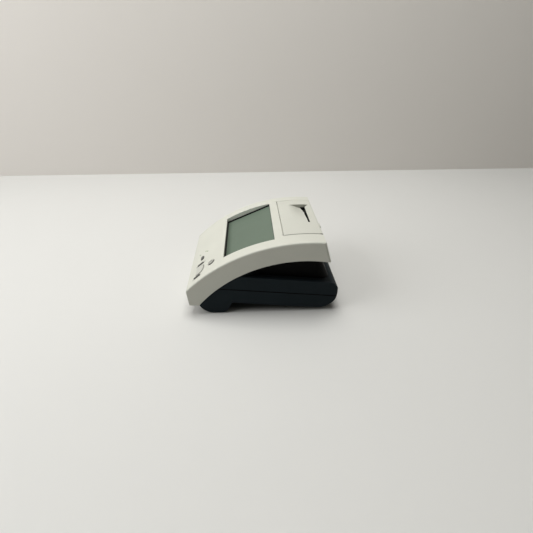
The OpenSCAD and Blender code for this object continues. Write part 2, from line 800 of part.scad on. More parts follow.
// The front foot's side outline, shrunk by a wall.
module foot_outline(inset)
    let (z0 = pad_proud + inset, tr = toe_r - inset, hr = heel_r - inset,
        heel = [toe_y + foot_flat, pad_proud + heel_r],
        flank = [heel[0] + hr * sin(heel_slope), heel[1] - hr * cos(heel_slope)],
        rise = 26 - flank[1])
    union() {
        translate([toe_y, pad_proud + toe_r]) circle(tr);
        translate([toe_y, z0]) square([foot_flat, toe_r]);
        translate(heel) circle(hr);
        polygon([heel, flank, flank + [rise / tan(heel_slope), rise], [heel[0], 26]]);
    }

module bottom_shell(inset)
    intersection() {
        union() {
            slab(inset, slab_lift, case_low);
            along_x(inset - body_w / 2, body_w / 2 - inset) foot_outline(inset);
        }
        in_slab() translate([-big / 2, 0, case_low - big]) cube(big);
        base_block(inset);
        under_drum(-seam);
    }

hatch_w = batt_w + 2 * batt_gap + 2 * bay_wall;
hatch_l = batt_l + 2 * batt_gap + 2 * bay_wall;
hatch_tab = 9;                         // extra length that takes the hatch screws
hatch_screw_x = 30;
hatch_screw_v = batt_v + hatch_l / 2 + 4;
foot_seat = pad_proud + 8;             // seat of the screws in the front foot

module bottom_case() color("darkslategray")
    difference() {
        union() {
            difference() {
                bottom_shell(0);
                bottom_shell(wall);
                // hollow carried up through the open top
                intersection() {
                    slab(wall, seam_w - 3, seam_w + 3);
                    base_block(wall);
                }
            }
            in_slab() {
                // walls of the battery bay
                difference() {
                    translate([0, batt_v, slab_lift + wall / 2])
                        rounded_plate(hatch_w, hatch_l, batt_t + wall / 2, 2);
                    translate([0, batt_v, slab_lift])
                        rounded_plate(hatch_w - 2 * bay_wall, hatch_l - 2 * bay_wall, batt_t + 2 * wall, 1);
                }
                for (s = [-1, 1], v = case_screw_v)
                    boss(s * case_screw_x, v, slab_lift + wall / 2, case_low, 4);
                for (x = [-pillar_x, pillar_x], v = pillar_v)
                    boss(x, v, floor_w - wall / 2, board_lift, 3);
                for (s = [-1, 1])
                    boss(s * hatch_screw_x, hatch_screw_v, slab_lift + wall / 2, floor_w + 7, 3.4);
            }
            intersection() {
                for (s = [-1, 1]) boss(s * foot_screw_x, foot_screw_y, 0, nose_z + 5 - seam, 4.4);
                bottom_shell(wall / 2);
            }
        }
        in_slab() {
            translate([0, batt_v, slab_lift - 1])
                rounded_plate(hatch_w - 2 * bay_wall, hatch_l - 2 * bay_wall, 10, 1);
            translate([0, batt_v + hatch_tab / 2, slab_lift - 1])
                rounded_plate(hatch_w + 2, hatch_l + hatch_tab, 1 + wall / 2, 2);
            for (s = [-1, 1], v = case_screw_v) {
                boss(s * case_screw_x, v, slab_lift - 1, seam_w + 1, screw_r + hole_gap);
                boss(s * case_screw_x, v, slab_lift - 1, slab_lift + 8, 3.1);
            }
            for (x = [-pillar_x, pillar_x], v = pillar_v)
                boss(x, v, board_lift - 8, board_lift + 1, screw_r + tap_gap);
            for (s = [-1, 1])
                boss(s * hatch_screw_x, hatch_screw_v, slab_lift, floor_w + 8, screw_r + tap_gap);
        }
        for (s = [-1, 1]) {
            boss(s * foot_screw_x, foot_screw_y, -1, nose_z + 6, screw_r + hole_gap);
            boss(s * foot_screw_x, foot_screw_y, -1, foot_seat, 3.3);
        }
        for (s = [-1, 1]) translate([s * pad_x, rear_pad_y, 0])
            cylinder(r = pad_d / 2 + 0.1, h = slab_z(slab_v(rear_pad_y, 0), slab_lift) + 1.2);
    }

module battery_door() color("darkslategray")
    in_slab() difference() {
        union() {
            translate([0, batt_v + hatch_tab / 2, slab_lift])
                rounded_plate(hatch_w + 2 - 2 * seam, hatch_l + hatch_tab - 2 * seam, wall / 2, 2);
            translate([0, batt_v, slab_lift])
                rounded_plate(hatch_w - 2 * bay_wall - 2 * seam, hatch_l - 2 * bay_wall - 2 * seam, wall, 1);
        }
        for (s = [-1, 1])
            boss(s * hatch_screw_x, hatch_screw_v, slab_lift - 1, floor_w, screw_r + hole_gap);
        for (s = [-1 : 0.5 : 1]) translate([s * 24 - 1, batt_v - 22, slab_lift - 1]) cube([2, 14, 1.6]);
    }

module battery_pack() color("steelblue")
    in_slab() translate([0, batt_v, batt_low]) union() {
        for (s = [-1, 1]) translate([s * (batt_w - batt_t) / 2, 0, batt_t / 2]) rotate([90, 0, 0])
            cylinder(r = batt_t / 2, h = batt_l, center = true);
        translate([(batt_t - batt_w) / 2, -batt_l / 2, 0]) cube([batt_w - batt_t, batt_l, batt_t]);
    }

module front_pads() color("black")
    for (s = [-1, 1]) translate([s * front_pad_x, toe_y + foot_flat / 2, 0])
        intersection() {
            cylinder(r = pad_d / 2, h = pad_proud);
            translate([-pad_d, -foot_flat / 2, 0]) cube([2 * pad_d, foot_flat, pad_proud]);
        }

module rear_pads() color("black")
    for (s = [-1, 1]) translate([s * pad_x, rear_pad_y, 0])
        cylinder(r = pad_d / 2, h = slab_z(slab_v(rear_pad_y, 0), slab_lift) + 1.2);

// ==== Printer door ==========================================================

function ease(q) = q * q * (3 - 2 * q);
// Depth of the scoop at fractions s across it from the right and t toward the slot
function scoop_at(s, t) = scoop_d * ease(s) * ease(t);

// The air over the scoop's curved ramp: a ramp grid under one flat lid.
module scoop_air()
    let (ns = 20, nt = 14, row = nt + 1, n = (ns + 1) * row,
        xs = [for (i = [0 : ns]) slot_x1 + (slot_x0 - slot_x1) * i / ns],
        ys = [for (j = [0 : nt]) slot_y + scoop_l * (j / nt - 1)],
        ramp = [for (i = [0 : ns], j = [0 : nt])
            [xs[i], ys[j], top_z(ys[j]) + 0.03 - scoop_at(i / ns, j / nt)]],
        lid = [for (i = [0, ns], j = [0, nt]) [xs[i], ys[j], body_h + wall]],
        cells = [for (i = [0 : ns - 1], j = [0 : nt - 1]) i * row + j])
    polyhedron(concat(ramp, lid), concat(
        [for (a = cells) [a, a + 1, a + row]],
        [for (a = cells) [a + 1, a + row + 1, a + row]],
        [concat([n + 1, n], [for (j = [0 : nt]) j])],
        [concat([n + 2, n + 3], [for (j = [nt : -1 : 0]) ns * row + j])],
        [concat([n, n + 2], [for (i = [ns : -1 : 0]) i * row])],
        [concat([n + 3, n + 1], [for (i = [0 : ns]) i * row + nt])],
        [[n, n + 1, n + 3, n + 2]]));

module door_skin()
    difference() {
        intersection() {
            cover_outer();
            translate([door_left, hinge_y, door_low]) cube([door_w, big, big]);
        }
        intersection() {
            arch_drum(arch_r - door_t, body_w / 2, 0.5);
            translate([door_mid, 0, 0])
                leaning_block(door_w / 2 - door_t, rear_y0 - door_t, rear_lean, 0.5);
        }
    }

module printer_door() color("ivory")
    difference() {
        union() {
            door_skin();
            x_rod(knuckle_r, door_left, door_right, hinge_y, hinge_z);
            // pan under the scoop
            intersection() {
                translate([slot_x0 - door_t, slot_y - scoop_l, body_h - scoop_d - door_t])
                    cube([slot_x1 - slot_x0 + 2 * door_t, scoop_l + 4, scoop_d + door_t]);
                arch_drum(arch_r - door_t / 2, body_w / 2, 0.5);
            }
            // finger tab on the rear edge
            intersection() {
                leaning_block(slot_x1 + tab_w, rear_y0 + 1.2, rear_lean, 0.4);
                translate([slot_x1, hinge_y, body_h - 5]) cube([tab_w, 60, 3]);
            }
        }
        scoop_air();
        translate([slot_x0, slot_y - slot_w / 2, door_low]) cube([slot_x1 - slot_x0, slot_w, big]);
        // wider relief at the slot's left end
        translate([slot_x0, slot_y, door_low]) linear_extrude(big)
            polygon([[0, -3.6], [0, relief_l], [10, slot_w / 2], [10, -slot_w / 2]]);
        x_rod(rod_r, door_left - 1, door_right + 1, hinge_y, hinge_z);
    }

module hinge_rod() color("silver")
    x_rod(rod_r, rod_x0 + seam, rod_x1 - seam, hinge_y, hinge_z);

// ==== Printer ===============================================================

// Involute of the base circle rb at radius r: the polar angle it has turned.
function inv_angle(rb, r) = let (a = acos(rb / r)) tan(a) * 180 / PI - a;

// Outline of an involute gear with a tooth centred on +X.
module gear_outline(teeth)
    let (m = gear_module, pitch = m * teeth / 2, base = pitch * cos(20), tip = pitch + m * 0.95,
        root = pitch - m * 1.2, start = max(base, root + 0.05), steps = 4,
        half = 90 / teeth - backlash / 2 / pitch * 90 / PI + inv_angle(base, pitch),
        radii = [for (i = [0 : steps]) start + (tip - start) * i / steps],
        flank = [for (r = radii) [r, half - inv_angle(base, r)]])
    polygon([for (k = [0 : teeth - 1])
        let (c = k * 360 / teeth)
        for (p = concat([[root, -flank[0][1] - 1.5]],
            [for (f = flank) [f[0], -f[1]]],
            [for (i = [steps : -1 : 0]) flank[i]],
            [[root, flank[0][1] + 1.5]]))
            p[0] * [cos(c + p[1]), sin(c + p[1])]]);

// A gear with its axis along X: rotated so that a tooth centre points at `turn`.
module gear(teeth, y, z, turn, x0, t)
    translate([x0, y, z]) rotate([90, 0, 90]) rotate([0, 0, turn]) linear_extrude(t) gear_outline(teeth);

// Turn that meshes gear b with gear a, whose tooth centre points at turn_a.
function mesh_turn(dir, turn_a, teeth_a, teeth_b) =
    let (phase = (dir - turn_a) * teeth_a / 360)
    dir + 180 - (0.5 - phase) * 360 / teeth_b;

platen_turn = idler_dir;
idler_turn = mesh_turn(idler_dir, platen_turn, platen_teeth, idler_teeth);
pinion_turn = mesh_turn(motor_dir, idler_turn, idler_teeth, pinion_teeth);

// Outline of the printer's side plates.
module plate_outline()
    union() {
        translate([reel_y, reel_z]) circle(tub_r + 2);
        polygon([
            [reel_y - tub_r - 2, reel_z],
            [foot_ys[0] - lug_l / 2, lug_top],
            [reel_y + tub_r, lug_top],
            [reel_y + tub_r + 2, reel_z]]);
        polygon([
            [reel_y, lug_top],
            [platen_y - 5, platen_z + 5],
            [back_y + 2, platen_z + 6],
            [back_y + 2, sill_z],
            [deck_y1 - 1.5, sill_z],
            [deck_y1 - 1.5, platen_z - 12],
            [reel_y + tub_r, reel_z - 4],
            [reel_y, reel_z]]);
    }

module printer_chassis() color("dimgray")
    difference() {
        union() {
            along_x(bay_x0 - plate_t, bay_x0) plate_outline();
            along_x(bay_x1, bay_x1 + plate_t) plate_outline();
            // tub under the roll
            along_x(bay_x0, bay_x1) difference() {
                translate([reel_y, reel_z]) circle(tub_r + 2);
                translate([reel_y, reel_z]) circle(tub_r);
                translate([0, reel_z]) square([big, big]);
            }
            // plate behind the print head
            translate([bay_x0, back_y, sill_z]) cube([bay_x1 - bay_x0, 2, platen_z + 4 - sill_z]);
            // motor bracket, outside the gears
            along_x(motor_x - bracket_t, motor_x) union() {
                translate([motor_y, motor_z]) circle(motor_r + 1);
                polygon([
                    [motor_y - motor_r - 1, motor_z],
                    [foot_ys[0] - lug_l / 2, lug_top],
                    [motor_y + motor_r + 1, lug_top],
                    [motor_y + motor_r + 1, motor_z]]);
            }
            // fixing ears
            for (y = foot_ys) translate([0, y - lug_l / 2, boss_top]) {
                translate([-ledge_x, 0, 0]) cube([ledge_x + bay_x0, lug_l, lug_t]);
                translate([bay_x1, 0, 0]) cube([ledge_x - bay_x1, lug_l, lug_t]);
            }
        }
        // bearings
        x_rod(shaft_r + run_gap, -body_w / 2, body_w / 2, platen_y, platen_z);
        x_rod(2 + run_gap, -body_w / 2, bay_x1 + plate_t, reel_y, reel_z);
        x_rod(shaft_r, bay_x1 - 0.1, bay_x1 + plate_t + 0.1, idler_y, idler_z);
        x_rod(3, motor_x - bracket_t - 1, motor_x + 1, motor_y, motor_z);
        for (x = [-ledge_x + 3, ledge_x - 3], y = foot_ys)
            boss(x, y, boss_top - 1, boss_top + 4, screw_r + hole_gap);
    }

module paper_roll() color("white")
    along_x(paper_x - paper_w / 2, paper_x + paper_w / 2) translate([reel_y, reel_z]) difference() {
        circle(roll_r);
        circle(core_r);
    }

module paper_core() color("burlywood")
    along_x(paper_x - paper_w / 2, paper_x + paper_w / 2) translate([reel_y, reel_z]) difference() {
        circle(core_r);
        circle(core_r - 1.2);
    }

module reel_spindle() color("dimgray")
    union() {
        x_rod(2, bay_x0 - plate_t, bay_x1 + plate_t, reel_y, reel_z);
        x_rod(core_r - 1.2, paper_x - paper_w / 2 - 1, paper_x + paper_w / 2 + 1, reel_y, reel_z);
    }

module platen_shaft() color("silver")
    x_rod(shaft_r, bay_x0 - plate_t, gear_x + gear_t, platen_y, platen_z);

module platen_rubber() color("black")
    along_x(bay_x0 + 0.5, bay_x1 - 0.5) translate([platen_y, platen_z]) difference() {
        circle(platen_r);
        circle(shaft_r);
    }

module platen_gear() color("white")
    difference() {
        gear(platen_teeth, platen_y, platen_z, platen_turn, gear_x, gear_t);
        x_rod(shaft_r, gear_x - 1, gear_x + gear_t + 1, platen_y, platen_z);
    }

module idler_gear() color("white")
    difference() {
        gear(idler_teeth, idler_y, idler_z, idler_turn, gear_x, gear_t);
        x_rod(shaft_r + run_gap, gear_x - 1, gear_x + gear_t + 1, idler_y, idler_z);
        for (a = [0 : 72 : 288])
            x_rod(1.8, gear_x - 1, gear_x + gear_t + 1, idler_y + 5.2 * cos(a), idler_z + 5.2 * sin(a));
    }

module idler_pin() color("silver")
    union() {
        x_rod(shaft_r, bay_x1, gear_x + gear_t + 0.4, idler_y, idler_z);
        x_rod(shaft_r + 0.7, gear_x + gear_t + 0.3, gear_x + gear_t + 1, idler_y, idler_z);
    }

module motor_pinion() color("gold")
    difference() {
        gear(pinion_teeth, motor_y, motor_z, pinion_turn, gear_x, gear_t);
        x_rod(1, gear_x - 1, gear_x + gear_t + 1, motor_y, motor_z);
    }

module motor_shaft() color("silver")
    x_rod(1, gear_x, motor_x + 4, motor_y, motor_z);

module stepper_motor() color("silver")
    difference() {
        union() {
            x_rod(motor_r, motor_x, motor_x + motor_l, motor_y, motor_z);
            x_rod(2.8, motor_x - bracket_t, motor_x, motor_y, motor_z);
        }
        x_rod(1 + run_gap, motor_x - bracket_t - 1, motor_x + 4.3, motor_y, motor_z);
    }

module print_head() color("silver")
    translate([bay_x0 + 0.5, head_y, platen_z - 9]) cube([bay_x1 - bay_x0 - 1, head_t, 15]);

module head_sink() color("gray")
    let (z0 = sill_z + seam, h = platen_z + 3 - z0)
    translate([bay_x0 + 0.5, head_y + head_t, z0]) difference() {
        cube([bay_x1 - bay_x0 - 1, sink_t, h]);
        for (x = [6 : 8 : 54]) translate([x, sink_t / 2, -1]) cube([2.4, sink_t, h + 2]);
    }

module head_springs() color("silver")
    for (x = [bay_x0 + 17.7, bay_x1 - 17.7]) translate([x, back_y - spring_l, platen_z - 2])
        rotate([-90, 0, 0]) difference() {
            cylinder(r = 2.4, h = spring_l);
            translate([0, 0, -1]) cylinder(r = 1.7, h = spring_l + 2);
        }

// ==== Circuits and connectors ===============================================

module main_board() color("darkgreen")
    in_slab() difference() {
        union() {
            translate([0, board_v, board_lift]) rounded_plate(board_w, board_l, pcb_t, 2);
            translate([4, board_v - 6, board_top]) rounded_plate(16, 16, 1.6, 0.5);
            translate([30, board_v + 10, board_top]) rounded_plate(10, 14, 2, 0.5);
            for (i = [0 : 2]) translate([board_w / 2 - 7, board_v - 24 + 13 * i, board_top])
                cylinder(r = 4, h = 5.5);
        }
        for (x = [-pillar_x, pillar_x], v = pillar_v)
            boss(x, v, board_lift - 1, board_top + 1, screw_r + hole_gap);
    }

module input_shield() color("silver")
    in_slab() translate([(shield_w - board_w) / 2 + 5, board_v - 10, board_top])
        rounded_plate(shield_w, shield_l, shield_h, 1);

module buzzer() color("black")
    in_slab() translate([32, board_v - 26, board_top]) difference() {
        cylinder(r = 6, h = 5.5);
        translate([0, 0, 2]) cylinder(r = 1, h = 5);
    }

module io_board() color("darkgreen")
    on_rear(0, conn_rise) difference() {
        translate([0, 0, -io_deep - pcb_t]) rounded_plate(2 * io_post_x + 8, 15, pcb_t, 1);
        for (s = [-1, 1]) boss(s * io_post_x, 0, -io_deep - pcb_t - 1, 0, screw_r + hole_gap);
    }

// Outline of a D-shaped plug shell, grown by a margin.
module d_outline(m)
    polygon([[-12.6 - m, 4.2 + m], [12.6 + m, 4.2 + m], [11.1 + m, -4.2 - m], [-11.1 - m, -4.2 - m]]);

module patient_connector() color("silver")
    translate([-body_w / 2 + neck_in, patient_y, patient_z]) rotate([90, 0, -90]) difference() {
        union() {
            rounded_plate(39, 12.4, 1, 1);
            linear_extrude(6) d_outline(0);
            translate([-13.6, -4.9, -9]) cube([27.2, 9.8, 9]);
        }
        translate([0, 0, 1]) linear_extrude(6) difference() {
            d_outline(-0.6);
            d_outline(-1.4);
        }
        for (s = [-1, 1]) translate([s * 16.6, 0, -1]) cylinder(r = 1.5, h = 4);
    }

module dc_inlet() color("black")
    on_rear(dc_x, conn_rise) union() {
        difference() {
            union() {
                boss(0, 0, -io_deep, 0.5, 4.5);
                boss(0, 0, 0, 0.8, 5.6);
            }
            boss(0, 0, -6, 4, 3);
        }
        boss(0, 0, -7, -0.5, 1);
    }

module data_port() color("silver")
    on_rear(data_x, conn_rise) difference() {
        translate([-6, -5.5, -io_deep]) cube([12, 11, io_deep + 1]);
        translate([-5.2, -4.7, -7]) cube([10.4, 9.4, 10]);
    }

module ground_pin() color("silver")
    on_rear(ground_x, conn_rise) union() {
        boss(0, 0, -wall - 2.6, 5, 3);
        boss(0, 0, 0, 1.2, 5);
        translate([0, 0, -wall - 2.2]) cylinder(r = 4.6, h = 2.2, $fn = 6);
    }

// ==== Screws ================================================================

module case_screws() color("gray") {
    in_slab() for (s = [-1, 1], v = case_screw_v)
        translate([s * case_screw_x, v, slab_lift + 8]) rotate([180, 0, 0]) screw(22);
    in_slab() for (s = [-1, 1])
        translate([s * hatch_screw_x, hatch_screw_v, slab_lift]) rotate([180, 0, 0]) screw(7, 2.6, 0.9);
    for (s = [-1, 1])
        translate([s * foot_screw_x, foot_screw_y, foot_seat]) rotate([180, 0, 0]) screw(18);
}

module cover_screws() color("gray")
    for (s = [-1, 1], y = cover_screw_y)
        translate([s * cover_screw_x, y, under_z(y) + cover_seat]) rotate([180, 0, 0]) screw(9, 2.3, 1.6);

module chassis_screws() color("gray")
    for (x = [-ledge_x + 3, ledge_x - 3], y = foot_ys) translate([x, y, lug_top]) screw(9);

module display_screws() color("gray")
    in_display() for (x = [-ear_x, ear_x], v = [-ear_v, ear_v])
        translate([x, v, module_top - ear_t]) rotate([180, 0, 0]) screw(6);

module board_screws() color("gray") {
    in_slab() for (x = [-pillar_x, pillar_x], v = pillar_v) translate([x, v, board_top]) screw(7);
    on_arch([0, mat_y]) for (at = key_posts_at)
        translate([at[0], at[1], -mat_drop - mat_t - pcb_t]) rotate([180, 0, 0]) screw(6);
    for (s = [-1, 1]) on_rear(s * io_post_x, conn_rise)
        translate([0, 0, -io_deep - pcb_t]) rotate([180, 0, 0]) screw(7);
}

// ==== Placing: the sizes above count Y from the nose ========================

module place() translate([0, -body_l / 2, 0]) children();

place() top_cover();
place() middle_case();
place() bottom_case();
place() battery_door();
place() battery_pack();
place() front_pads();
place() rear_pads();
place() lcd_gasket();
place() lcd_glass();
place() lcd_module();
place() display_board();
place() power_key();
place() start_key();
place() select_key();
place() near_bar_key();
place() far_bar_key();
place() led_pipes();
place() key_mat();
place() key_board();
place() printer_door();
place() hinge_rod();
place() printer_chassis();
place() paper_roll();
place() paper_core();
place() reel_spindle();
place() platen_shaft();
place() platen_rubber();
place() platen_gear();
place() idler_gear();
place() idler_pin();
place() motor_pinion();
place() motor_shaft();
place() stepper_motor();
place() print_head();
place() head_sink();
place() head_springs();
place() main_board();
place() input_shield();
place() buzzer();
place() io_board();
place() patient_connector();
place() dc_inlet();
place() data_port();
place() ground_pin();
place() case_screws();
place() cover_screws();
place() chassis_screws();
place() display_screws();
place() board_screws();
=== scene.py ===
"""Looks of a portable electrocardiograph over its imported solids.

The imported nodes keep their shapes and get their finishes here. The key caps, the springs behind
the print head, and the display's gasket and pane are numpy surfaces that stand where their solids
are. Lengths are metres; +Z is up, the nose is toward -Y and +X is the right.
"""

import logging
import math
from dataclasses import dataclass
from enum import Enum
from typing import ClassVar

import bpy
import numpy as np
from mathutils import Matrix, Vector

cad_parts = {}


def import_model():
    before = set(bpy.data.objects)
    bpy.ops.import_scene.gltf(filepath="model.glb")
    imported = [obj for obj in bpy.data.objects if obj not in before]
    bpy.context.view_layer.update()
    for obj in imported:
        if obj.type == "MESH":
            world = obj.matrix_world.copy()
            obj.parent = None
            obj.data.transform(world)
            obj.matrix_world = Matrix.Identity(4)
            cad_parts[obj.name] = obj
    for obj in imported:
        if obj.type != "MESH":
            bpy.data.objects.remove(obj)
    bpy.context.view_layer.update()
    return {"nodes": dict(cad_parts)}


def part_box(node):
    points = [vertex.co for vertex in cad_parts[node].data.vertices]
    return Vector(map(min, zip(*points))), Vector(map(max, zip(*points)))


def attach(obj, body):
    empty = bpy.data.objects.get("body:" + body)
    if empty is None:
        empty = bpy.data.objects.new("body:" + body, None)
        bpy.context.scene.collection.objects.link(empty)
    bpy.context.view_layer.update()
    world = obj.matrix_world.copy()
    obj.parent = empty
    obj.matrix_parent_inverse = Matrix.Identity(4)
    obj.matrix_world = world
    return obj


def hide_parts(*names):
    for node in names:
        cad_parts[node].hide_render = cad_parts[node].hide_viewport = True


log = logging.getLogger("electrocardiograph")

Colour = tuple[float, float, float]
Point = tuple[float, float, float]
Plan = tuple[float, float]
Span = tuple[float, float]
Object = bpy.types.Object
Material = bpy.types.Material
Socket = bpy.types.NodeSocket
Value = Socket | float | Point

MM = 0.001
# Distance from the middle of the part forward to the edge of its nose.
NOSE = 0.094


# ---- Finishes ---------------------------------------------------------------


def shade(colour: Colour, factor: float) -> Colour:
    """Scales a colour's brightness.

    Args:
        colour: Linear red, green and blue.
        factor: What each is multiplied by.

    Returns:
        The scaled colour, at most white.
    """
    return tuple(min(1.0, c * factor) for c in colour)


def in_plan(x: float, back: float) -> Plan:
    """Turns a place in millimetres, to the right and behind the nose, into x and y in metres."""
    return x * MM, back * MM - NOSE


class Graph:
    """A material's nodes, made and wired in a few words each."""

    def __init__(self, name: str) -> None:
        """Starts a material with one principled shader.

        Args:
            name: The material's name.
        """
        self.material = bpy.data.materials.new(name)
        self.material.use_nodes = True
        self.tree = self.material.node_tree
        self.shader = self.tree.nodes["Principled BSDF"]
        self.place = self.add("ShaderNodeTexCoord").outputs["Object"]

    def add(self, kind: str, **settings: object) -> bpy.types.Node:
        """Adds a node.

        Args:
            kind: Blender's name of the node type.
            **settings: Attributes of the node.

        Returns:
            The new node.
        """
        node = self.tree.nodes.new(kind)
        for key, value in settings.items():
            setattr(node, key, value)
        return node

    def feed(self, source: Value, target: Socket) -> None:
        """Links a socket, or writes a plain value, into an input.

        Args:
            source: An output socket, a number or a row of numbers.
            target: The input socket.
        """
        if isinstance(source, Socket):
            self.tree.links.new(source, target)
        else:
            target.default_value = source

    def mapped(
        self, scale: Point = (1, 1, 1), turn: Point = (0, 0, 0), move: Point = (0, 0, 0)
    ) -> Socket:
        """Object coordinates, scaled, then turned, then moved.

        Args:
            scale: Factor along each axis.
            turn: Rotation about each axis, in radians.
            move: What is added along each axis.

        Returns:
            The coordinates' socket.
        """
        node = self.add("ShaderNodeMapping", vector_type="POINT")
        self.feed(self.place, node.inputs["Vector"])
        self.feed(scale, node.inputs["Scale"])
        self.feed(turn, node.inputs["Rotation"])
        self.feed(move, node.inputs["Location"])
        return node.outputs["Vector"]

    def axes(self, where: Socket | None = None) -> tuple[Socket, ...]:
        """The x, y and z of some coordinates.

        Args:
            where: Coordinates, or None for plain object coordinates.

        Returns:
            Three sockets.
        """
        parts = self.add("ShaderNodeSeparateXYZ")
        self.feed(where or self.place, parts.inputs["Vector"])
        return tuple(parts.outputs)

    def noise(self, size: float, detail: float = 2.0, where: Socket | None = None) -> Socket:
        """Noise whose features are about as wide as a real length.

        Args:
            size: Width of a feature, in metres.
            detail: Octaves of finer noise.
            where: Coordinates, or None for plain object coordinates.

        Returns:
            A value from 0 to 1.
        """
        node = self.add("ShaderNodeTexNoise")
        node.inputs["Scale"].default_value = 1.0 / size
        node.inputs["Detail"].default_value = detail
        self.feed(where or self.place, node.inputs["Vector"])
        return node.outputs["Fac"]

    def bricks(
        self, where: Socket, width: float, height: float, gap: float, offset: float = 0.0
    ) -> Socket:
        """A pattern of rectangles.

        Args:
            where: Coordinates of the pattern's plane.
            width: Width of a rectangle, in metres.
            height: Height of a rectangle.
            gap: Width of the lines between them.
            offset: Share of a width by which every other row moves.

        Returns:
            A value that is 1 on the lines and 0 in the rectangles.
        """
        node = self.add("ShaderNodeTexBrick", offset=offset, squash=1.0)
        self.feed(where, node.inputs["Vector"])
        sizes = {"Scale": 1.0, "Mortar Size": gap, "Brick Width": width, "Row Height": height}
        for key, value in sizes.items():
            node.inputs[key].default_value = value
        return node.outputs["Fac"]

    def spread(
        self, value: Value, low: float, high: float, start: float = 0.3, end: float = 0.7
    ) -> Socket:
        """Maps a value's middle range onto two ends.

        Args:
            value: The socket to map.
            low: Result at `start`.
            high: Result at `end`.
            start: Value that gives `low`.
            end: Value that gives `high`.

        Returns:
            The mapped socket.
        """
        node = self.add("ShaderNodeMapRange")
        self.feed(value, node.inputs["Value"])
        ends = {"From Min": start, "From Max": end, "To Min": low, "To Max": high}
        for key, number in ends.items():
            node.inputs[key].default_value = number
        return node.outputs["Result"]

    def about(self, value: Socket, middle: float, swing: float) -> Socket:
        """Maps noise onto numbers on both sides of a middle one."""
        return self.spread(value, middle - swing, middle + swing)

    def rising(self, value: Socket, limit: float, soft: float) -> Socket:
        """Eases from 0 under a limit to 1 over it, inside a soft distance on both sides."""
        return self.spread(value, 0, 1, limit - soft, limit + soft)

    def falling(self, value: Socket, limit: float, soft: float) -> Socket:
        """Eases from 1 under a limit to 0 over it, inside a soft distance on both sides."""
        return self.spread(value, 1, 0, limit - soft, limit + soft)

    def calc(self, operation: str, a: Value, b: Value = 0.0) -> Socket:
        """One arithmetic step.

        Args:
            operation: Blender's name of the operation.
            a: First value.
            b: Second value.

        Returns:
            The result's socket.
        """
        node = self.add("ShaderNodeMath", operation=operation)
        self.feed(a, node.inputs[0])
        self.feed(b, node.inputs[1])
        return node.outputs["Value"]

    def distance(self, value: Socket, centre: float = 0.0) -> Socket:
        """How far a value is from a number, on either side."""
        return self.calc("ABSOLUTE", self.calc("ADD", value, -centre) if centre else value)

    def both(self, *parts: Value) -> Socket:
        """The product of values from 0 to 1, which is 1 where all of them are."""
        made = parts[0]
        for part in parts[1:]:
            made = self.calc("MULTIPLY", made, part)
        return made

    def either(self, a: Socket, b: Socket) -> Socket:
        """The larger of two values."""
        return self.calc("MAXIMUM", a, b)

    def between(self, value: Socket, low: float, high: float) -> Socket:
        """Whether a value lies between two numbers: 1 there and 0 elsewhere."""
        over = self.calc("GREATER_THAN", value, low)
        return self.both(over, self.calc("LESS_THAN", value, high))

    def blend(self, factor: Socket, first: Colour | Socket, second: Colour | Socket) -> Socket:
        """Mixes two colours.

        Args:
            factor: Share of the second colour.
            first: Colour at factor 0.
            second: Colour at factor 1.

        Returns:
            The mixed colour's socket.
        """
        node = self.add("ShaderNodeMix", data_type="RGBA")
        self.feed(factor, node.inputs["Factor"])
        for source, target in ((first, node.inputs["A"]), (second, node.inputs["B"])):
            linked = isinstance(source, Socket)
            self.feed(source if linked else (*source, 1.0), target)
        return node.outputs["Result"]

    def clouded(self, colour: Colour, noise: Socket, dark: float, pale: float) -> Socket:
        """A colour that goes with noise from a darker shade of it to a paler one."""
        return self.blend(self.spread(noise, 0, 1), shade(colour, dark), shade(colour, pale))

    def paint(self, colour: Socket) -> None:
        """Feeds the base colour."""
        self.feed(colour, self.shader.inputs["Base Color"])

    def polish(self, roughness: Socket) -> None:
        """Feeds the roughness."""
        self.feed(roughness, self.shader.inputs["Roughness"])

    def relief(self, height: Socket, depth: float) -> None:
        """Feeds a bump into the shader's normal.

        Args:
            height: Height from 0 to 1.
            depth: Real depth at height 1, in metres.
        """
        node = self.add("ShaderNodeBump")
        node.inputs["Distance"].default_value = depth
        self.feed(height, node.inputs["Height"])
        self.feed(node.outputs["Normal"], self.shader.inputs["Normal"])

    def fix(self, **values: float) -> None:
        """Writes numbers that hold all over straight onto the shader.

        Args:
            **values: Socket names in lower case, with underscores for spaces.
        """
        names = {s.name.lower().replace(" ", "_"): s for s in self.shader.inputs}
        for key, value in values.items():
            names[key].default_value = value


@dataclass(frozen=True)
class Stroke:
    """A straight mark of painted shade seen in plan, in millimetres.

    Its ends are x and distance behind the nose, and `dark` is the share of painted shade on it.
    """

    start: Plan
    end: Plan
    half: float
    dark: float
    soft: float = 0.3

    def mask(self, g: Graph) -> Socket:
        """Where the mark is.

        The plan is turned and moved so that the mark runs along x, with its middle at 0. A point
        is on it where its distances from the middle, along and across, are both small.

        Args:
            g: The material's nodes.

        Returns:
            The share of grime, 0 away from the mark.
        """
        (x0, y0), (x1, y1) = in_plan(*self.start), in_plan(*self.end)
        reach = math.hypot(x1 - x0, y1 - y0) / 2
        turn = math.atan2(y1 - y0, x1 - x0)
        c, s = math.cos(turn), math.sin(turn)
        middle = (-c * x0 - s * y0 - reach, s * x0 - c * y0, 0)
        where = g.mapped(turn=(0, 0, -turn), move=middle)
        along, across, _ = g.axes(where)
        on_length = g.falling(g.distance(along), reach, self.soft * MM)
        on_width = g.falling(g.distance(across), self.half * MM, self.soft * MM)
        return g.both(g.calc("MINIMUM", on_length, on_width), self.dark)


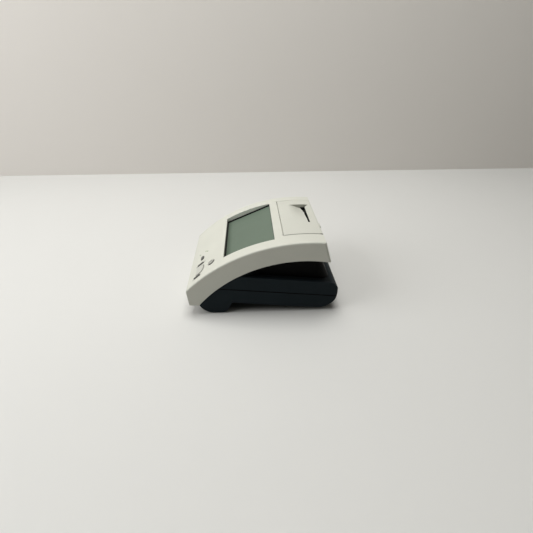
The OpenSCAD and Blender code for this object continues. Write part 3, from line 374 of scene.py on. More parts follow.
@dataclass(frozen=True)
class Ring:
    """Part of a ring of painted shade that lies on the slope, seen in plan, in millimetres.

    `squeeze` is the length in plan of one unit up the slope. The part faces a direction in degrees
    from x, and starts at a distance from the centre along it. `dark` is the share of painted shade.
    """

    centre: Plan
    squeeze: float
    radius: float
    half: float
    facing: float
    start: float
    dark: float
    soft: float = 0.3
    fade: float = 0.8

    def mask(self, g: Graph) -> Socket:
        """Where the ring is: near its radius, and far enough toward where it faces.

        Args:
            g: The material's nodes.

        Returns:
            The share of painted shade, 0 away from the ring.
        """
        x, y = in_plan(*self.centre)
        where = g.mapped((1, 1 / self.squeeze, 0), move=(-x, -y / self.squeeze, 0))
        length = g.add("ShaderNodeVectorMath", operation="LENGTH")
        g.feed(where, length.inputs[0])
        off = g.distance(length.outputs["Value"], self.radius * MM)
        near = g.falling(off, self.half * MM, self.soft * MM)
        across, up, _ = g.axes(where)
        facing = math.radians(self.facing)
        side = g.calc("ADD", g.both(across, math.cos(facing)), g.both(up, math.sin(facing)))
        begun = g.rising(side, self.start * MM, self.fade * MM)
        return g.both(g.calc("MINIMUM", near, begun), self.dark)


@dataclass(frozen=True)
class MouldedPlastic:
    """Moulded plastic: an even colour with slow clouding and a fine spark-eroded grain.

    The gloss varies in patches, by `swing` to both sides. `level` is the shader's specular level.
    """

    name: str
    colour: Colour
    roughness: float = 0.45
    grain: float = 0.0007
    depth: float = 0.000012
    clouding: float = 0.02
    cloud: float = 0.04
    patch: float = 0.015
    swing: float = 0.04
    level: float = 0.5

    def tone(self, g: Graph) -> Socket:
        """The colour with its clouds."""
        cloud = g.noise(self.cloud, 3)
        return g.clouded(self.colour, cloud, 1 - self.clouding, 1 + self.clouding)

    def build(self) -> Material:
        """Makes the material."""
        g = Graph(self.name)
        g.paint(self.tone(g))
        g.polish(g.about(g.noise(self.patch, 4), self.roughness, self.swing))
        g.relief(g.noise(self.grain, 2), self.depth)
        g.fix(specular_ior_level=self.level)
        return g.material


@dataclass(frozen=True)
class CoverMoulding(MouldedPlastic):
    """Pale moulded plastic with painted shade: black inside the paper slot, and darker along the
    door's seams, beside the keys and on the scoop's end wall. The far wall of the display's well
    has painted light, a paler colour.

    Pairs are the lowest and highest x, or distance behind the nose, of an area.
    """

    # Colour of painted shade along the door's seams, beside the keys and on the scoop's end wall.
    grime: Colour = (0.055, 0.053, 0.047)
    # Painted shade: black inside the paper slot, where its walls lie in shadow.
    black: Colour = (0.001, 0.001, 0.001)
    slot_x: Span = (-0.0431, 0.0181)
    slot_back: Span = (0.1520, 0.15705)
    slot_rim: float = 0.0968
    slot_rear: float = 0.15695
    slot_edge: float = 0.0002
    relief_back: Span = (0.1520, 0.1630)
    scoop: float = 0.0060
    end_x: float = -0.0428
    end_top: float = 0.0928
    end_back: Span = (0.1335, 0.1630)
    # Share of painted shade on the scoop's far end wall.
    end_grime: float = 0.3
    # Painted light: the far wall of the display's well gets a paler colour.
    well_x: Span = (-0.0580, -0.0576)
    well_back: Span = (0.0465, 0.1090)
    well_wall_light: Colour = (0.90, 0.89, 0.83)
    marks: tuple[Stroke | Ring, ...] = (
        # Painted shade along the door's seams: right side, its rear end, rear edge, and both ends
        # in front.
        Stroke((51.7, 120.0), (52.6, 168.4), 0.75, 0.75),
        Stroke((52.4, 164.5), (52.9, 168.8), 1.2, 1.0),
        Stroke((-60.0, 166.3), (49.0, 166.3), 0.5, 0.15),
        Stroke((-60.0, 119.6), (-48.0, 119.6), 0.6, 0.3),
        Stroke((51.3, 119.6), (47.5, 119.6), 0.7, 0.5),
        # Painted shade beside the two bar keys, the power key and the start key.
        Stroke((37.0, 9.4), (36.3, 21.8), 0.7, 0.85),
        Stroke((64.9, 7.6), (63.4, 18.6), 0.7, 0.85),
        Ring((51.4, 30.5), 0.82, 4.85, 0.70, 40.0, 0.2, 0.95),
        Ring((50.5, 11.7), 0.773, 12.35, 0.55, 88.0, 8.8, 0.55),
    )

    def slot(self, g: Graph, x: Socket, back: Socket, z: Socket) -> Socket:
        """Where the inside of the paper slot is, which gets painted shade in black.

        It lies under the scoop's floor, which falls by a smooth step from the slot's right end to
        its left one, and under the rim at the rear. On the wall at the left end it reaches up to
        a height of its own.

        Args:
            g: The material's nodes.
            x: Place across.
            back: Distance behind the nose.
            z: Height.

        Returns:
            A value that is 1 in the slot and 0 elsewhere.
        """
        right = g.calc("MULTIPLY", x, -1.0)
        fall = g.spread(right, 0, self.scoop, -self.slot_x[1], -self.slot_x[0])
        fall.node.interpolation_type = "SMOOTHSTEP"
        under_floor = g.calc("LESS_THAN", z, g.calc("SUBTRACT", self.slot_rim, fall))
        under_rim = g.calc("LESS_THAN", z, self.slot_rim - self.slot_edge)
        at_rear = g.both(g.calc("GREATER_THAN", back, self.slot_rear), under_rim)
        inside = g.both(g.either(under_floor, at_rear), g.between(back, *self.slot_back))
        on_end = g.both(g.calc("LESS_THAN", x, self.end_x), g.between(back, *self.relief_back))
        at_end = g.both(on_end, g.calc("LESS_THAN", z, self.end_top))
        return g.both(g.either(inside, at_end), g.between(x, *self.slot_x))

    def tone(self, g: Graph) -> Socket:
        """The clouded colour, with painted shade along seams, keys, the end wall and slot, and
        painted light on the well's far wall.
        """
        tone = super().tone(g)
        # Painted shade along the door's seams and beside the keys.
        for mark in self.marks:
            tone = g.blend(mark.mask(g), tone, self.grime)
        x, y, z = g.axes()
        back = g.calc("ADD", y, NOSE)
        # Painted shade on the scoop's far end wall.
        end_wall = g.both(g.between(x, self.slot_x[0], self.end_x), g.between(back, *self.end_back))
        tone = g.blend(g.both(end_wall, self.end_grime), tone, self.grime)
        # Painted light on the far wall of the display's well.
        well = g.both(g.between(x, *self.well_x), g.between(back, *self.well_back))
        tone = g.blend(well, tone, self.well_wall_light)
        # Painted shade in black inside the paper slot.
        return g.blend(self.slot(g, x, back, z), tone, self.black)


@dataclass(frozen=True)
class BaseMoulding(MouldedPlastic):
    """Dark moulded plastic: black in the seam, black on the neck as painted shade, slightly paler
    elsewhere.

    The neck is what lies above the ledge's plane and inside the base's sides. The ledge and the
    seam are planes that fall toward the rear by `slope` degrees. Their distances are square to
    them, from the floor right under the nose.
    """

    # Painted shade: the neck's colour, black, for the shadow under the cover.
    neck: Colour = (0.0006, 0.0006, 0.0006)
    neck_side: Span = (0.068, 0.0745)
    ledge: float = 0.0594
    ledge_soft: float = 0.0004
    seam: float = 0.0406
    seam_half: float = 0.0007
    seam_soft: float = 0.0002
    slope: float = 6.0

    def tone(self, g: Graph) -> Socket:
        """The clouded colour, with painted shade in black on the neck, and the seam in black."""
        x, y, z = g.axes()
        tilt = math.radians(self.slope)
        along = g.calc("MULTIPLY", g.calc("ADD", y, NOSE), math.sin(tilt))
        rise = g.calc("ADD", along, g.calc("MULTIPLY", z, math.cos(tilt)))
        inside = g.spread(g.distance(x), 1, 0, *self.neck_side)
        on_neck = g.calc("MINIMUM", inside, g.rising(rise, self.ledge, self.ledge_soft))
        on_seam = g.falling(g.distance(rise, self.seam), self.seam_half, self.seam_soft)
        # Painted shade in black on the neck.
        return g.blend(g.either(on_neck, on_seam), super().tone(g), self.neck)


@dataclass(frozen=True)
class Rubber:
    """Rubber or silicone: matt, with a soft dusty bloom."""

    name: str
    colour: Colour
    roughness: float = 0.8
    bloom: float = 0.35
    dust: float = 0.006
    dust_range: Span = (0.45, 0.75)
    dusty: float = 1.8
    patch: float = 0.002
    swing: float = 0.08
    grain: float = 0.0009
    depth: float = 0.00003

    def build(self) -> Material:
        """Makes the material."""
        g = Graph(self.name)
        dust = g.spread(g.noise(self.dust, 5), 0, self.bloom, *self.dust_range)
        g.paint(g.blend(dust, self.colour, shade(self.colour, self.dusty)))
        g.polish(g.about(g.noise(self.patch, 3), self.roughness, self.swing))
        g.relief(g.noise(self.grain, 3), self.depth)
        return g.material


class Lay(Enum):
    """Direction of the fine lines that a tool leaves in a metal, as a factor along each axis."""

    ALONG_X = (1 / 30, 1.0, 1.0)
    NONE = (1.0, 1.0, 1.0)


@dataclass(frozen=True)
class Metal:
    """A metal with fine tool lines and slight staining."""

    name: str
    colour: Colour
    roughness: float = 0.35
    lay: Lay = Lay.NONE
    depth: float = 0.00001
    line: float = 0.0006
    stain: float = 0.009
    stained: Span = (0.88, 1.06)
    line_swing: float = 0.08
    stain_swing: float = 0.05

    def build(self) -> Material:
        """Makes the material."""
        g = Graph(self.name)
        lines = g.noise(self.line, 3, g.mapped(self.lay.value))
        stain = g.noise(self.stain, 4)
        g.paint(g.clouded(self.colour, stain, *self.stained))
        in_lines = g.about(lines, 0.0, self.line_swing)
        g.polish(g.calc("ADD", in_lines, g.about(stain, self.roughness, self.stain_swing)))
        g.relief(lines, self.depth)
        g.fix(metallic=1.0)
        return g.material


@dataclass(frozen=True)
class DisplayCell:
    """Reflective display behind an anti-glare pane: grey-green with a faint dot raster."""

    name: str
    colour: Colour
    pitch: float = 0.00045
    line: float = 0.08
    line_tone: float = 0.7
    line_share: float = 0.05
    haze: float = 0.05
    hazy: float = 0.02
    tilt: float = 23.06
    roughness: float = 0.42
    patch: float = 0.02
    swing: float = 0.03
    grain: float = 0.0003
    depth: float = 0.000004
    level: float = 0.16

    def build(self) -> Material:
        """Makes the material. The raster is a brick pattern in the pane's own plane."""
        g = Graph(self.name)
        where = g.mapped(turn=(math.radians(-self.tilt), 0, 0))
        raster = g.bricks(where, self.pitch, self.pitch, self.pitch * self.line)
        haze = g.noise(self.haze, 2)
        tone = g.clouded(self.colour, haze, 1 - self.hazy, 1 + self.hazy)
        lines = g.both(raster, self.line_share)
        g.paint(g.blend(lines, tone, shade(self.colour, self.line_tone)))
        g.polish(g.about(g.noise(self.patch, 3), self.roughness, self.swing))
        g.relief(g.noise(self.grain, 2), self.depth)
        g.fix(specular_ior_level=self.level)
        return g.material


@dataclass(frozen=True)
class CircuitBoard:
    """Solder mask over tracks, with small tinned pads."""

    name: str
    mask: Colour
    track: Colour
    tin: Colour = (0.55, 0.55, 0.52)
    cell: tuple[float, float] = (0.0063, 0.0021)
    track_width: float = 0.00025
    step: float = 0.37
    pads: float = 260.0
    pad: Span = (0.16, 0.2)
    patch: float = 0.004
    roughness: Span = (0.25, 0.4)
    depth: float = 0.00003

    def build(self) -> Material:
        """Makes the material. Tracks are the walls of stepped cells, and pads small round cells."""
        g = Graph(self.name)
        cells = g.bricks(g.place, *self.cell, self.track_width, self.step)
        dots = g.add("ShaderNodeTexVoronoi")
        g.feed(g.place, dots.inputs["Vector"])
        dots.inputs["Scale"].default_value = self.pads
        pads = g.spread(dots.outputs["Distance"], 1, 0, *self.pad)
        g.paint(g.blend(pads, g.blend(cells, self.mask, self.track), self.tin))
        g.polish(g.spread(g.noise(self.patch, 2), *self.roughness))
        g.relief(cells, self.depth)
        return g.material


@dataclass(frozen=True)
class WoundPaper:
    """Paper or board wound about the reel: fibres, and winding lines on the ends."""

    name: str
    colour: Colour
    axis: tuple[float, float] = (0.040, 0.064)
    winding: float = 0.0004
    fibre: float = 0.0008
    fibre_tone: float = 0.9
    fibre_share: Span = (0.94, 1.0)
    line_tone: float = 0.6
    line_share: float = 0.25
    line_range: Span = (0.6, 1.0)
    patch: float = 0.001
    roughness: Span = (0.75, 0.9)
    grain: float = 0.0005
    depth: float = 0.00002

    def build(self) -> Material:
        """Makes the material.

        The winding lines are a sine of the distance from the reel's axis, which is the root of the
        sum of two squares.
        """
        g = Graph(self.name)
        _, y, z = g.axes()
        across, height = (g.calc("ADD", v, -middle) for v, middle in zip((y, z), self.axis))
        square = g.calc("ADD", g.both(across, across), g.both(height, height))
        turns = g.both(g.calc("POWER", square, 0.5), math.tau / self.winding)
        lines = g.spread(g.calc("SINE", turns), 0, self.line_share, *self.line_range)
        fibre = g.spread(g.noise(self.fibre, 4), *self.fibre_share)
        tone = g.blend(fibre, shade(self.colour, self.fibre_tone), self.colour)
        g.paint(g.blend(lines, tone, shade(self.colour, self.line_tone)))
        g.polish(g.spread(g.noise(self.patch, 3), *self.roughness))
        g.relief(g.noise(self.grain, 4), self.depth)
        return g.material


COVER_SHELL = CoverMoulding("cover_shell", (0.68, 0.68, 0.605), roughness=0.55, level=0.3)
DOOR_SHELL = CoverMoulding("door_shell", (0.645, 0.645, 0.575), roughness=0.55, level=0.3)
BASE_SHELL = BaseMoulding(
    "base_shell", (0.0140, 0.0200, 0.0235), roughness=0.5, clouding=0.08, level=0.05
)
KEY_LIGHT = MouldedPlastic("key_light", (0.58, 0.58, 0.525), roughness=0.5, level=0.3)
KEY_ROUND = MouldedPlastic("key_round", (0.40, 0.40, 0.36), roughness=0.5, level=0.3)
KEY_DARK = MouldedPlastic("key_dark", (0.085, 0.088, 0.080), roughness=0.45)
FRAME_DARK = MouldedPlastic("frame_dark", (0.04, 0.04, 0.043), roughness=0.5)
GEAR_WHITE = MouldedPlastic("gear_white", (0.72, 0.72, 0.68), roughness=0.4, grain=0.0015)
SOCKET_BLACK = MouldedPlastic("socket_black", (0.015, 0.015, 0.016), roughness=0.4)
CELL_WRAP = MouldedPlastic("cell_wrap", (0.02, 0.07, 0.2), roughness=0.28, clouding=0.1)
LIGHT_PIPE = MouldedPlastic("light_pipe", (0.33, 0.42, 0.21), roughness=0.22)
GASKET = Rubber("gasket", (0.006, 0.0065, 0.006))
PAD_RUBBER = Rubber("pad_rubber", (0.025, 0.025, 0.026))
SILICONE = Rubber("silicone", (0.22, 0.23, 0.23), roughness=0.6)
PLATEN_RUBBER = Rubber("platen_rubber_skin", (0.018, 0.018, 0.02), roughness=0.65)
CELL = DisplayCell("display_cell", (0.146, 0.191, 0.146))
BOARD = CircuitBoard("board_green", (0.012, 0.10, 0.035), (0.03, 0.2, 0.08))
STEEL = Metal("ground_steel", (0.55, 0.55, 0.56), 0.28, Lay.ALONG_X)
ZINC = Metal("zinc_plate", (0.48, 0.49, 0.5), 0.42, depth=0.000004)
ALUMINIUM = Metal("milled_aluminium", (0.63, 0.64, 0.65), 0.4, Lay.ALONG_X)
NICKEL = Metal("nickel_plate", (0.6, 0.59, 0.55), 0.3, depth=0.0000015)
BRASS = Metal("machined_brass", (0.66, 0.46, 0.18), 0.3, Lay.ALONG_X)
ROLL_PAPER = WoundPaper("roll_paper", (0.82, 0.82, 0.79))
CORE_BOARD = WoundPaper("core_board", (0.42, 0.30, 0.19))


class Palette:
    """Builds each finish once and hands out its material."""

    def __init__(self) -> None:
        """Starts with no materials."""
        self.made: dict[str, Material] = {}

    def get(self, finish: object) -> Material:
        """The material of a finish.

        Args:
            finish: One of the finish dataclasses above.

        Returns:
            Its material, made on the first call.
        """
        if finish.name not in self.made:
            self.made[finish.name] = finish.build()
        return self.made[finish.name]


# ---- Surfaces ---------------------------------------------------------------


def grid_faces(rows: int, cols: int, wrap_rows: bool, wrap_cols: bool) -> np.ndarray:
    """Quads of a grid: corner (i, j) joins (i, j+1), (i+1, j+1) and (i+1, j).

    Args:
        rows: Points down the grid.
        cols: Points across it.
        wrap_rows: Whether the last row joins the first.
        wrap_cols: Whether the last column joins the first.

    Returns:
        Vertex numbers, four per face.
    """
    i = np.arange(rows if wrap_rows else rows - 1)[:, None]
    j = np.arange(cols if wrap_cols else cols - 1)[None, :]
    i1, j1 = (i + 1) % rows, (j + 1) % cols
    corners = (i * cols + j, i * cols + j1, i1 * cols + j1, i1 * cols + j)
    return np.stack(np.broadcast_arrays(*corners), axis=-1).reshape(-1, 4)


def surface(
    name: str,
    points: np.ndarray,
    wrap_rows: bool = False,
    wrap_cols: bool = False,
    flip: bool = False,
    closed: bool = False,
    smooth: bool = True,
) -> Object:
    """Makes an object from a grid of points.

    Args:
        name: The object's name.
        points: Array of shape (rows, cols, 3), in metres.
        wrap_rows: Whether the last row joins the first.
        wrap_cols: Whether the last column joins the first.
        flip: Whether the faces look the other way.
        closed: Whether one face closes the first row, and one the last.
        smooth: Whether the grid's faces are smooth shaded.

    Returns:
        The object, at the origin.
    """
    rows, cols = points.shape[:2]
    faces = grid_faces(rows, cols, wrap_rows, wrap_cols)
    row = np.arange(cols)
    ends = [row[::-1], (rows - 1) * cols + row] if closed else []
    if flip:
        faces, ends = faces[:, ::-1], [end[::-1] for end in ends]
    mesh = bpy.data.meshes.new(name)
    mesh.from_pydata(points.reshape(-1, 3), [], faces.tolist() + [end.tolist() for end in ends])
    shading = np.full(len(faces) + len(ends), smooth)
    shading[len(faces) :] = False
    mesh.polygons.foreach_set("use_smooth", shading)
    mesh.update()
    made = bpy.data.objects.new(name, mesh)
    bpy.context.scene.collection.objects.link(made)
    return made


@dataclass(frozen=True)
class Arch:
    """The cover's crown line: a circle in the side plane, highest at `crown` behind the nose."""

    radius: float = 0.210
    crown: float = 0.149
    height: float = 0.097

    def frame(self, x: float, back: float) -> tuple[np.ndarray, np.ndarray, np.ndarray, np.ndarray]:
        """A square frame on the arch.

        The slope leans by the angle whose sine is the distance to the crown over the radius.

        Args:
            x: Sideways place.
            back: Distance behind the nose.

        Returns:
            Origin, then unit vectors to the right, up the slope and out of the cover.
        """
        lean = math.asin((self.crown - back) / self.radius)
        up = np.array([0.0, math.cos(lean), math.sin(lean)])
        out = np.array([0.0, -math.sin(lean), math.cos(lean)])
        axis = np.array([x, self.crown - NOSE, self.height - self.radius])
        return axis + out * self.radius, np.array([1.0, 0.0, 0.0]), up, out


# ---- Sub-assemblies ---------------------------------------------------------


@dataclass
class Assembly:
    """A sub-assembly: the finish of each of its nodes, and its own new pieces."""

    nodes: dict[str, Object]
    palette: Palette
    finishes: ClassVar[dict[str, object]] = {}

    def dress(self, obj: Object, finish: object) -> None:
        """Gives an object one finish all over.

        Args:
            obj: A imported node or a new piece.
            finish: One of the finish dataclasses.
        """
        obj.data.materials.clear()
        obj.data.materials.append(self.palette.get(finish))

    def build(self) -> None:
        """Dresses the nodes, then makes the new pieces."""
        for node, finish in self.finishes.items():
            self.dress(self.nodes[node], finish)
            log.info("%s has the finish %s", node, finish.name)
        self.make_pieces()

    def make_pieces(self) -> None:
        """Makes the sub-assembly's new pieces. The plain one has none."""

    def place(self, obj: Object, body: str, finish: object, slot: str, *stands_for: str) -> None:
        """Dresses a new piece and ties it to the frame.

        Args:
            obj: The piece.
            body: The body it moves with.
            finish: Its finish.
            slot: The record's material slot; not used.
            *stands_for: Nodes that it replaces.
        """
        self.dress(obj, finish)
        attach(obj, body)
        if stands_for:
            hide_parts(*stands_for)
        log.info("%s rides on %s", obj.name, body)


@dataclass
class Cover(Assembly):
    """The arched cover, the printer door and its hinge."""

    finishes: ClassVar[dict[str, object]] = {
        "top_cover": COVER_SHELL,
        "printer_door": DOOR_SHELL,
        "hinge_rod": STEEL,
    }


@dataclass
class Base(Assembly):
    """The two dark mouldings, the battery pack with its door, and the pads."""

    finishes: ClassVar[dict[str, object]] = {
        "middle_case": BASE_SHELL,
        "bottom_case": BASE_SHELL,
        "battery_door": BASE_SHELL,
        "battery_pack": CELL_WRAP,
        "front_pads": PAD_RUBBER,
        "rear_pads": PAD_RUBBER,
    }


@dataclass
class Display(Assembly):
    """The gasket that stands up inside the window, the pane in it, and the module behind.

    Places are across, up the slope and out of the display's plane. The gasket's face and the pane
    rise toward the nose, so they lean a little less than the module under them. The rims are the
    widths of the gasket's face, and the lap is its flange under the cover.
    """

    finishes: ClassVar[dict[str, object]] = {"lcd_module": ALUMINIUM, "display_board": BOARD}
    centre: Point = (0.0, -0.0162, 0.07824)
    tilt: float = 24.0
    half_width: float = 0.05770
    front: float = -0.03340
    rear: float = 0.03395
    window: float = 0.034
    lap: float = 0.0015
    lap_face: float = -0.00005
    rise: float = 0.0011
    side_rim: float = 0.0005
    front_rim: float = 0.0013
    rear_rim: float = 0.0003
    foot: float = -0.00598
    sink: float = 0.0021
    pane: float = 0.0018
    ease: float = 0.0002
    slack: float = 0.00002

    def face(self, v: float) -> float:
        """Height of the gasket's face at a place up the slope: a straight fall to the rear."""
        return self.rise * (self.rear - v) / (self.rear - self.front)

    def loop(self, half: float, ends: Span, heights: Span) -> np.ndarray:
        """Corners of a rectangle in the display's frame, counterclockwise seen from outside.

        A place v up the slope and w out of the plane is v cos(tilt) - w sin(tilt) behind the
        centre and v sin(tilt) + w cos(tilt) above it.

        Args:
            half: Half its width.
            ends: Its front and rear edges, up the slope.
            heights: Height out of the plane at those edges.

        Returns:
            Array of shape (4, 3), in the part's frame.
        """
        u = np.array([-half, half, half, -half])
        v = np.repeat(ends, 2)
        w = np.repeat(heights, 2)
        c, s = math.cos(math.radians(self.tilt)), math.sin(math.radians(self.tilt))
        return np.array(self.centre) + np.stack([u, v * c - w * s, v * s + w * c], axis=-1)

    def gasket(self) -> Object:
        """The gasket: its section carried round the rectangle, up inside, over and down outside."""
        outer = (self.front, self.rear)
        inner = (self.front + self.front_rim, self.rear - self.rear_rim)
        lapped = (-self.window - self.lap, self.window + self.lap)
        hole, under = self.half_width - self.side_rim, (self.lap_face, self.lap_face)
        rows = [
            self.loop(hole, inner, (self.foot, self.foot)),
            self.loop(hole, inner, (self.face(inner[0]), self.face(inner[1]))),
            self.loop(self.half_width, outer, (self.face(outer[0]), self.face(outer[1]))),
            self.loop(self.half_width, (-self.rear, self.rear), under),
            self.loop(self.half_width + self.lap, lapped, under),
            self.loop(self.half_width + self.lap, lapped, (self.foot, self.foot)),
        ]
        return surface("display_gasket", np.stack(rows), True, True, flip=True, smooth=False)

    def glass(self) -> Object:
        """The pane: a flat plate with its upper edge cut back, inside the gasket."""
        rows = []
        for cut, drop in ((self.ease, 0.0), (0.0, self.ease), (0.0, self.pane)):
            inset = self.slack + cut
            ends = (self.front + self.front_rim + inset, self.rear - self.rear_rim - inset)
            heights = tuple(self.face(v) - self.sink - drop for v in ends)
            rows.append(self.loop(self.half_width - self.side_rim - inset, ends, heights))
        plate = np.stack(rows)
        return surface("display_pane", plate, wrap_cols=True, flip=True, closed=True, smooth=False)

    def make_pieces(self) -> None:
        """Makes the gasket and the pane."""
        self.place(self.gasket(), "case", GASKET, "gasket_rubber", "lcd_gasket")
        self.place(self.glass(), "case", CELL, "display_glass", "lcd_glass")


# Key caps seen in plan, in millimetres: radii, half lengths of straights, the pad's front and
# sides, and how far its arc's centre lies in front. The power eases its corners.
ROUND_RADIUS = 4.0
OVAL_STRAIGHT, OVAL_RADIUS = 2.0, 2.4
BAR_STRAIGHT, BAR_RADIUS = 4.0, 1.3
PAD_FRONT, PAD_SIDE = 5.5, 9.5
PAD_RADIUS, PAD_DROP = 11.5, 5.0
PAD_CORNERS = 24.0
TINY = 1e-6
FAR = 1e3


class Outline(Enum):
    """Plan of a key cap. Its sizes are the millimetres above, from the cap's centre."""

    ROUND = "round"
    OVAL = "oval"
    BAR = "bar"
    PAD = "pad"

    def reach(self, angle: np.ndarray) -> np.ndarray:
        """Distance from the cap's centre to its outline.

        A round is a circle. Ovals and bars are two half circles and the straights between them,
        met by a ray from the centre. The pad is the nearest of two sides, a front and an arc, with
        its corners eased by a soft minimum: the sum of the distances to a high negative power,
        brought back by that power's root.

        Args:
            angle: Direction from the centre, in radians from +X.

        Returns:
            Distances in metres.
        """
        c, s = np.cos(angle), np.sin(angle)
        if self is Outline.ROUND:
            return np.full_like(angle, ROUND_RADIUS * MM)
        if self is Outline.PAD:
            front = np.where(s < -TINY, PAD_FRONT / np.maximum(-s, TINY), FAR)
            side = PAD_SIDE / np.maximum(np.abs(c), TINY)
            chord = (PAD_DROP * s) ** 2 - PAD_DROP**2 + PAD_RADIUS**2
            arc = -PAD_DROP * s + np.sqrt(np.maximum(chord, 0))
            soft = sum(np.power(d, -PAD_CORNERS) for d in (front, side, arc))
            return np.power(soft, -1 / PAD_CORNERS) * MM
        if self is Outline.OVAL:
            half, r, along, across = OVAL_STRAIGHT, OVAL_RADIUS, c, s
        else:
            half, r, along, across = BAR_STRAIGHT, BAR_RADIUS, s, c
        straight = r / np.maximum(np.abs(across), TINY)
        end = half * np.abs(along) + np.sqrt(np.maximum(r**2 - half**2 * across**2, 0))
        return np.where(straight * np.abs(along) <= half, straight, end) * MM


@dataclass(frozen=True)
class Key:
    """One key: its body and node, its place, and the form of its cap.

    The rim stands `proud` of the cover, and the middle `crown` more. `ease` rounds the rim.
    """

    body: str
    node: str
    x: float
    back: float
    outline: Outline
    finish: object
    slot: str
    crown: float = 0.0
    proud: float = 0.001
    ease: float = 0.0005


@dataclass
class Keypad(Assembly):
    """Keys with eased caps, light pipes, and the mat and board under them."""

    arch: Arch = Arch()
    sink: float = 0.0028
    rings: int = 10
    spokes: int = 96
    rim_steps: int = 6
    first_ring: float = 0.02
    finishes: ClassVar[dict[str, object]] = {
        "led_pipes": LIGHT_PIPE,
        "key_mat": SILICONE,
        "key_board": BOARD,
    }
    keys: tuple[Key, ...] = (
        Key("power", "power_key", 0.0514, 0.0305, Outline.ROUND, KEY_ROUND, "key_light", -0.0013),
        Key("start", "start_key", 0.0505, 0.0156, Outline.PAD, KEY_LIGHT, "key_light"),
        Key("select", "select_key", 0.0225, 0.0165, Outline.OVAL, KEY_DARK, "key_dark"),
        Key("near_bar", "near_bar_key", 0.064, 0.0134, Outline.BAR, KEY_DARK, "key_dark"),
        Key("far_bar", "far_bar_key", 0.037, 0.0156, Outline.BAR, KEY_DARK, "key_dark"),
    )

    def cap(self, key: Key) -> Object:
        """A cap: its outline carried down a profile.

        The top runs from the centre to the rim at a height that adds the crown times one minus
        the squared share of the way out. The rim turns through a quarter circle, and the skirt
        goes straight down under the cover.

        Args:
            key: The key.

        Returns:
            The cap's object.
        """
        origin, right, up, out = self.arch.frame(key.x, key.back)
        angle = np.linspace(0, math.tau, self.spokes, endpoint=False)
        reach = key.outline.reach(angle)
        flat = (reach - key.ease)[None, :]
        share = np.linspace(self.first_ring, 1, self.rings)[:, None]
        top = share * flat
        top_height = np.broadcast_to(key.proud + key.crown * (1 - share**2), top.shape)
        turn = np.linspace(0, math.pi / 2, self.rim_steps)[1:, None]
        rim = flat + key.ease * np.sin(turn)
        rim_height = np.broadcast_to(key.proud - key.ease * (1 - np.cos(turn)), rim.shape)
        skirt = reach[None, :]
        skirt_height = np.full(skirt.shape, -self.sink)
        radius = np.concatenate([top, rim, skirt])
        height = np.concatenate([top_height, rim_height, skirt_height])
        points = (
            origin
            + (radius * np.cos(angle))[..., None] * right
            + (radius * np.sin(angle))[..., None] * up
            + height[..., None] * out
        )
        return surface(key.body + "_cap", points, wrap_cols=True, flip=True, closed=True)

    def make_pieces(self) -> None:
        """Makes the key caps."""
        for key in self.keys:
            self.place(self.cap(key), key.body, key.finish, key.slot, key.node)


@dataclass
class Printer(Assembly):
    """The chart printer under the door."""

    finishes: ClassVar[dict[str, object]] = {
        "printer_chassis": FRAME_DARK,
        "paper_roll": ROLL_PAPER,
        "paper_core": CORE_BOARD,
        "reel_spindle": FRAME_DARK,
        "platen_shaft": STEEL,
        "platen_rubber": PLATEN_RUBBER,
        "platen_gear": GEAR_WHITE,
        "idler_gear": GEAR_WHITE,
        "idler_pin": STEEL,
        "motor_pinion": BRASS,
        "motor_shaft": STEEL,
        "stepper_motor": ZINC,
        "print_head": GEAR_WHITE,
        "head_sink": ALUMINIUM,
    }
    wire: float = 0.00035
    coil: float = 0.0020
    clear: float = 0.0004
    turns: float = 4.0
    steps: int = 160
    sides: int = 12

    def spring(self, name: str, lo: Vector, hi: Vector) -> Object:
        """A coil spring along Y: a wire circle carried along a helix.

        The helix goes round at the coil's radius while it moves evenly from one seat to the
        other, and the wire's circle stands on the outward and lengthwise directions.

        Args:
            name: The object's name.
            lo: Lowest corner of the space it fills.
            hi: Highest corner.

        Returns:
            The spring's object.
        """
        t = np.linspace(0, math.tau * self.turns, self.steps)[:, None]
        w = np.linspace(0, math.tau, self.sides, endpoint=False)[None, :]
        middle = (np.array(lo) + np.array(hi)) / 2
        along = np.linspace(lo.y + self.wire, hi.y - self.wire, self.steps)[:, None]
        ring = self.coil + self.wire * np.cos(w)
        points = np.stack(
            [
                middle[0] + ring * np.cos(t),
                along + self.wire * np.sin(w),
                middle[2] + ring * np.sin(t),
            ],
            axis=-1,
        )
        return surface(name, points, wrap_cols=True, closed=True)

    def make_pieces(self) -> None:
        """Makes the two springs behind the print head."""
        lo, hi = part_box("head_springs")
        wide = 2 * (self.coil + self.clear)
        first = self.spring("head_spring_left", lo, Vector((lo.x + wide, hi.y, hi.z)))
        second = self.spring("head_spring_right", Vector((hi.x - wide, lo.y, lo.z)), hi)
        self.place(first, "case", STEEL, "steel", "head_springs")
        self.place(second, "case", STEEL, "steel")


@dataclass
class Circuits(Assembly):
    """Boards, the shielded input stage, the buzzer, the connectors and all the screws."""

    finishes: ClassVar[dict[str, object]] = {
        "main_board": BOARD,
        "input_shield": NICKEL,
        "buzzer": SOCKET_BLACK,
        "io_board": BOARD,
        "patient_connector": NICKEL,
        "dc_inlet": SOCKET_BLACK,
        "data_port": NICKEL,
        "ground_pin": NICKEL,
        "case_screws": ZINC,
        "cover_screws": ZINC,
        "chassis_screws": ZINC,
        "display_screws": ZINC,
        "board_screws": ZINC,
    }


# ---- Floor, light and camera ------------------------------------------------


@dataclass(frozen=True)
class Lamp:
    """A square area lamp: its place, side, watts and colour."""

    name: str
    place: Point
    size: float
    power: float
    colour: Colour

    def hang(self, aim: Point) -> None:
        """Makes the lamp.

        Args:
            aim: The place that it looks at.
        """
        data = bpy.data.lights.new(self.name, "AREA")
        data.size, data.energy, data.color = self.size, self.power, self.colour
        made = bpy.data.objects.new(self.name, data)
        made.location = self.place
        gaze = Vector(aim) - Vector(self.place)
        made.rotation_euler = gaze.to_track_quat("-Z", "Y").to_euler()
        bpy.context.scene.collection.objects.link(made)


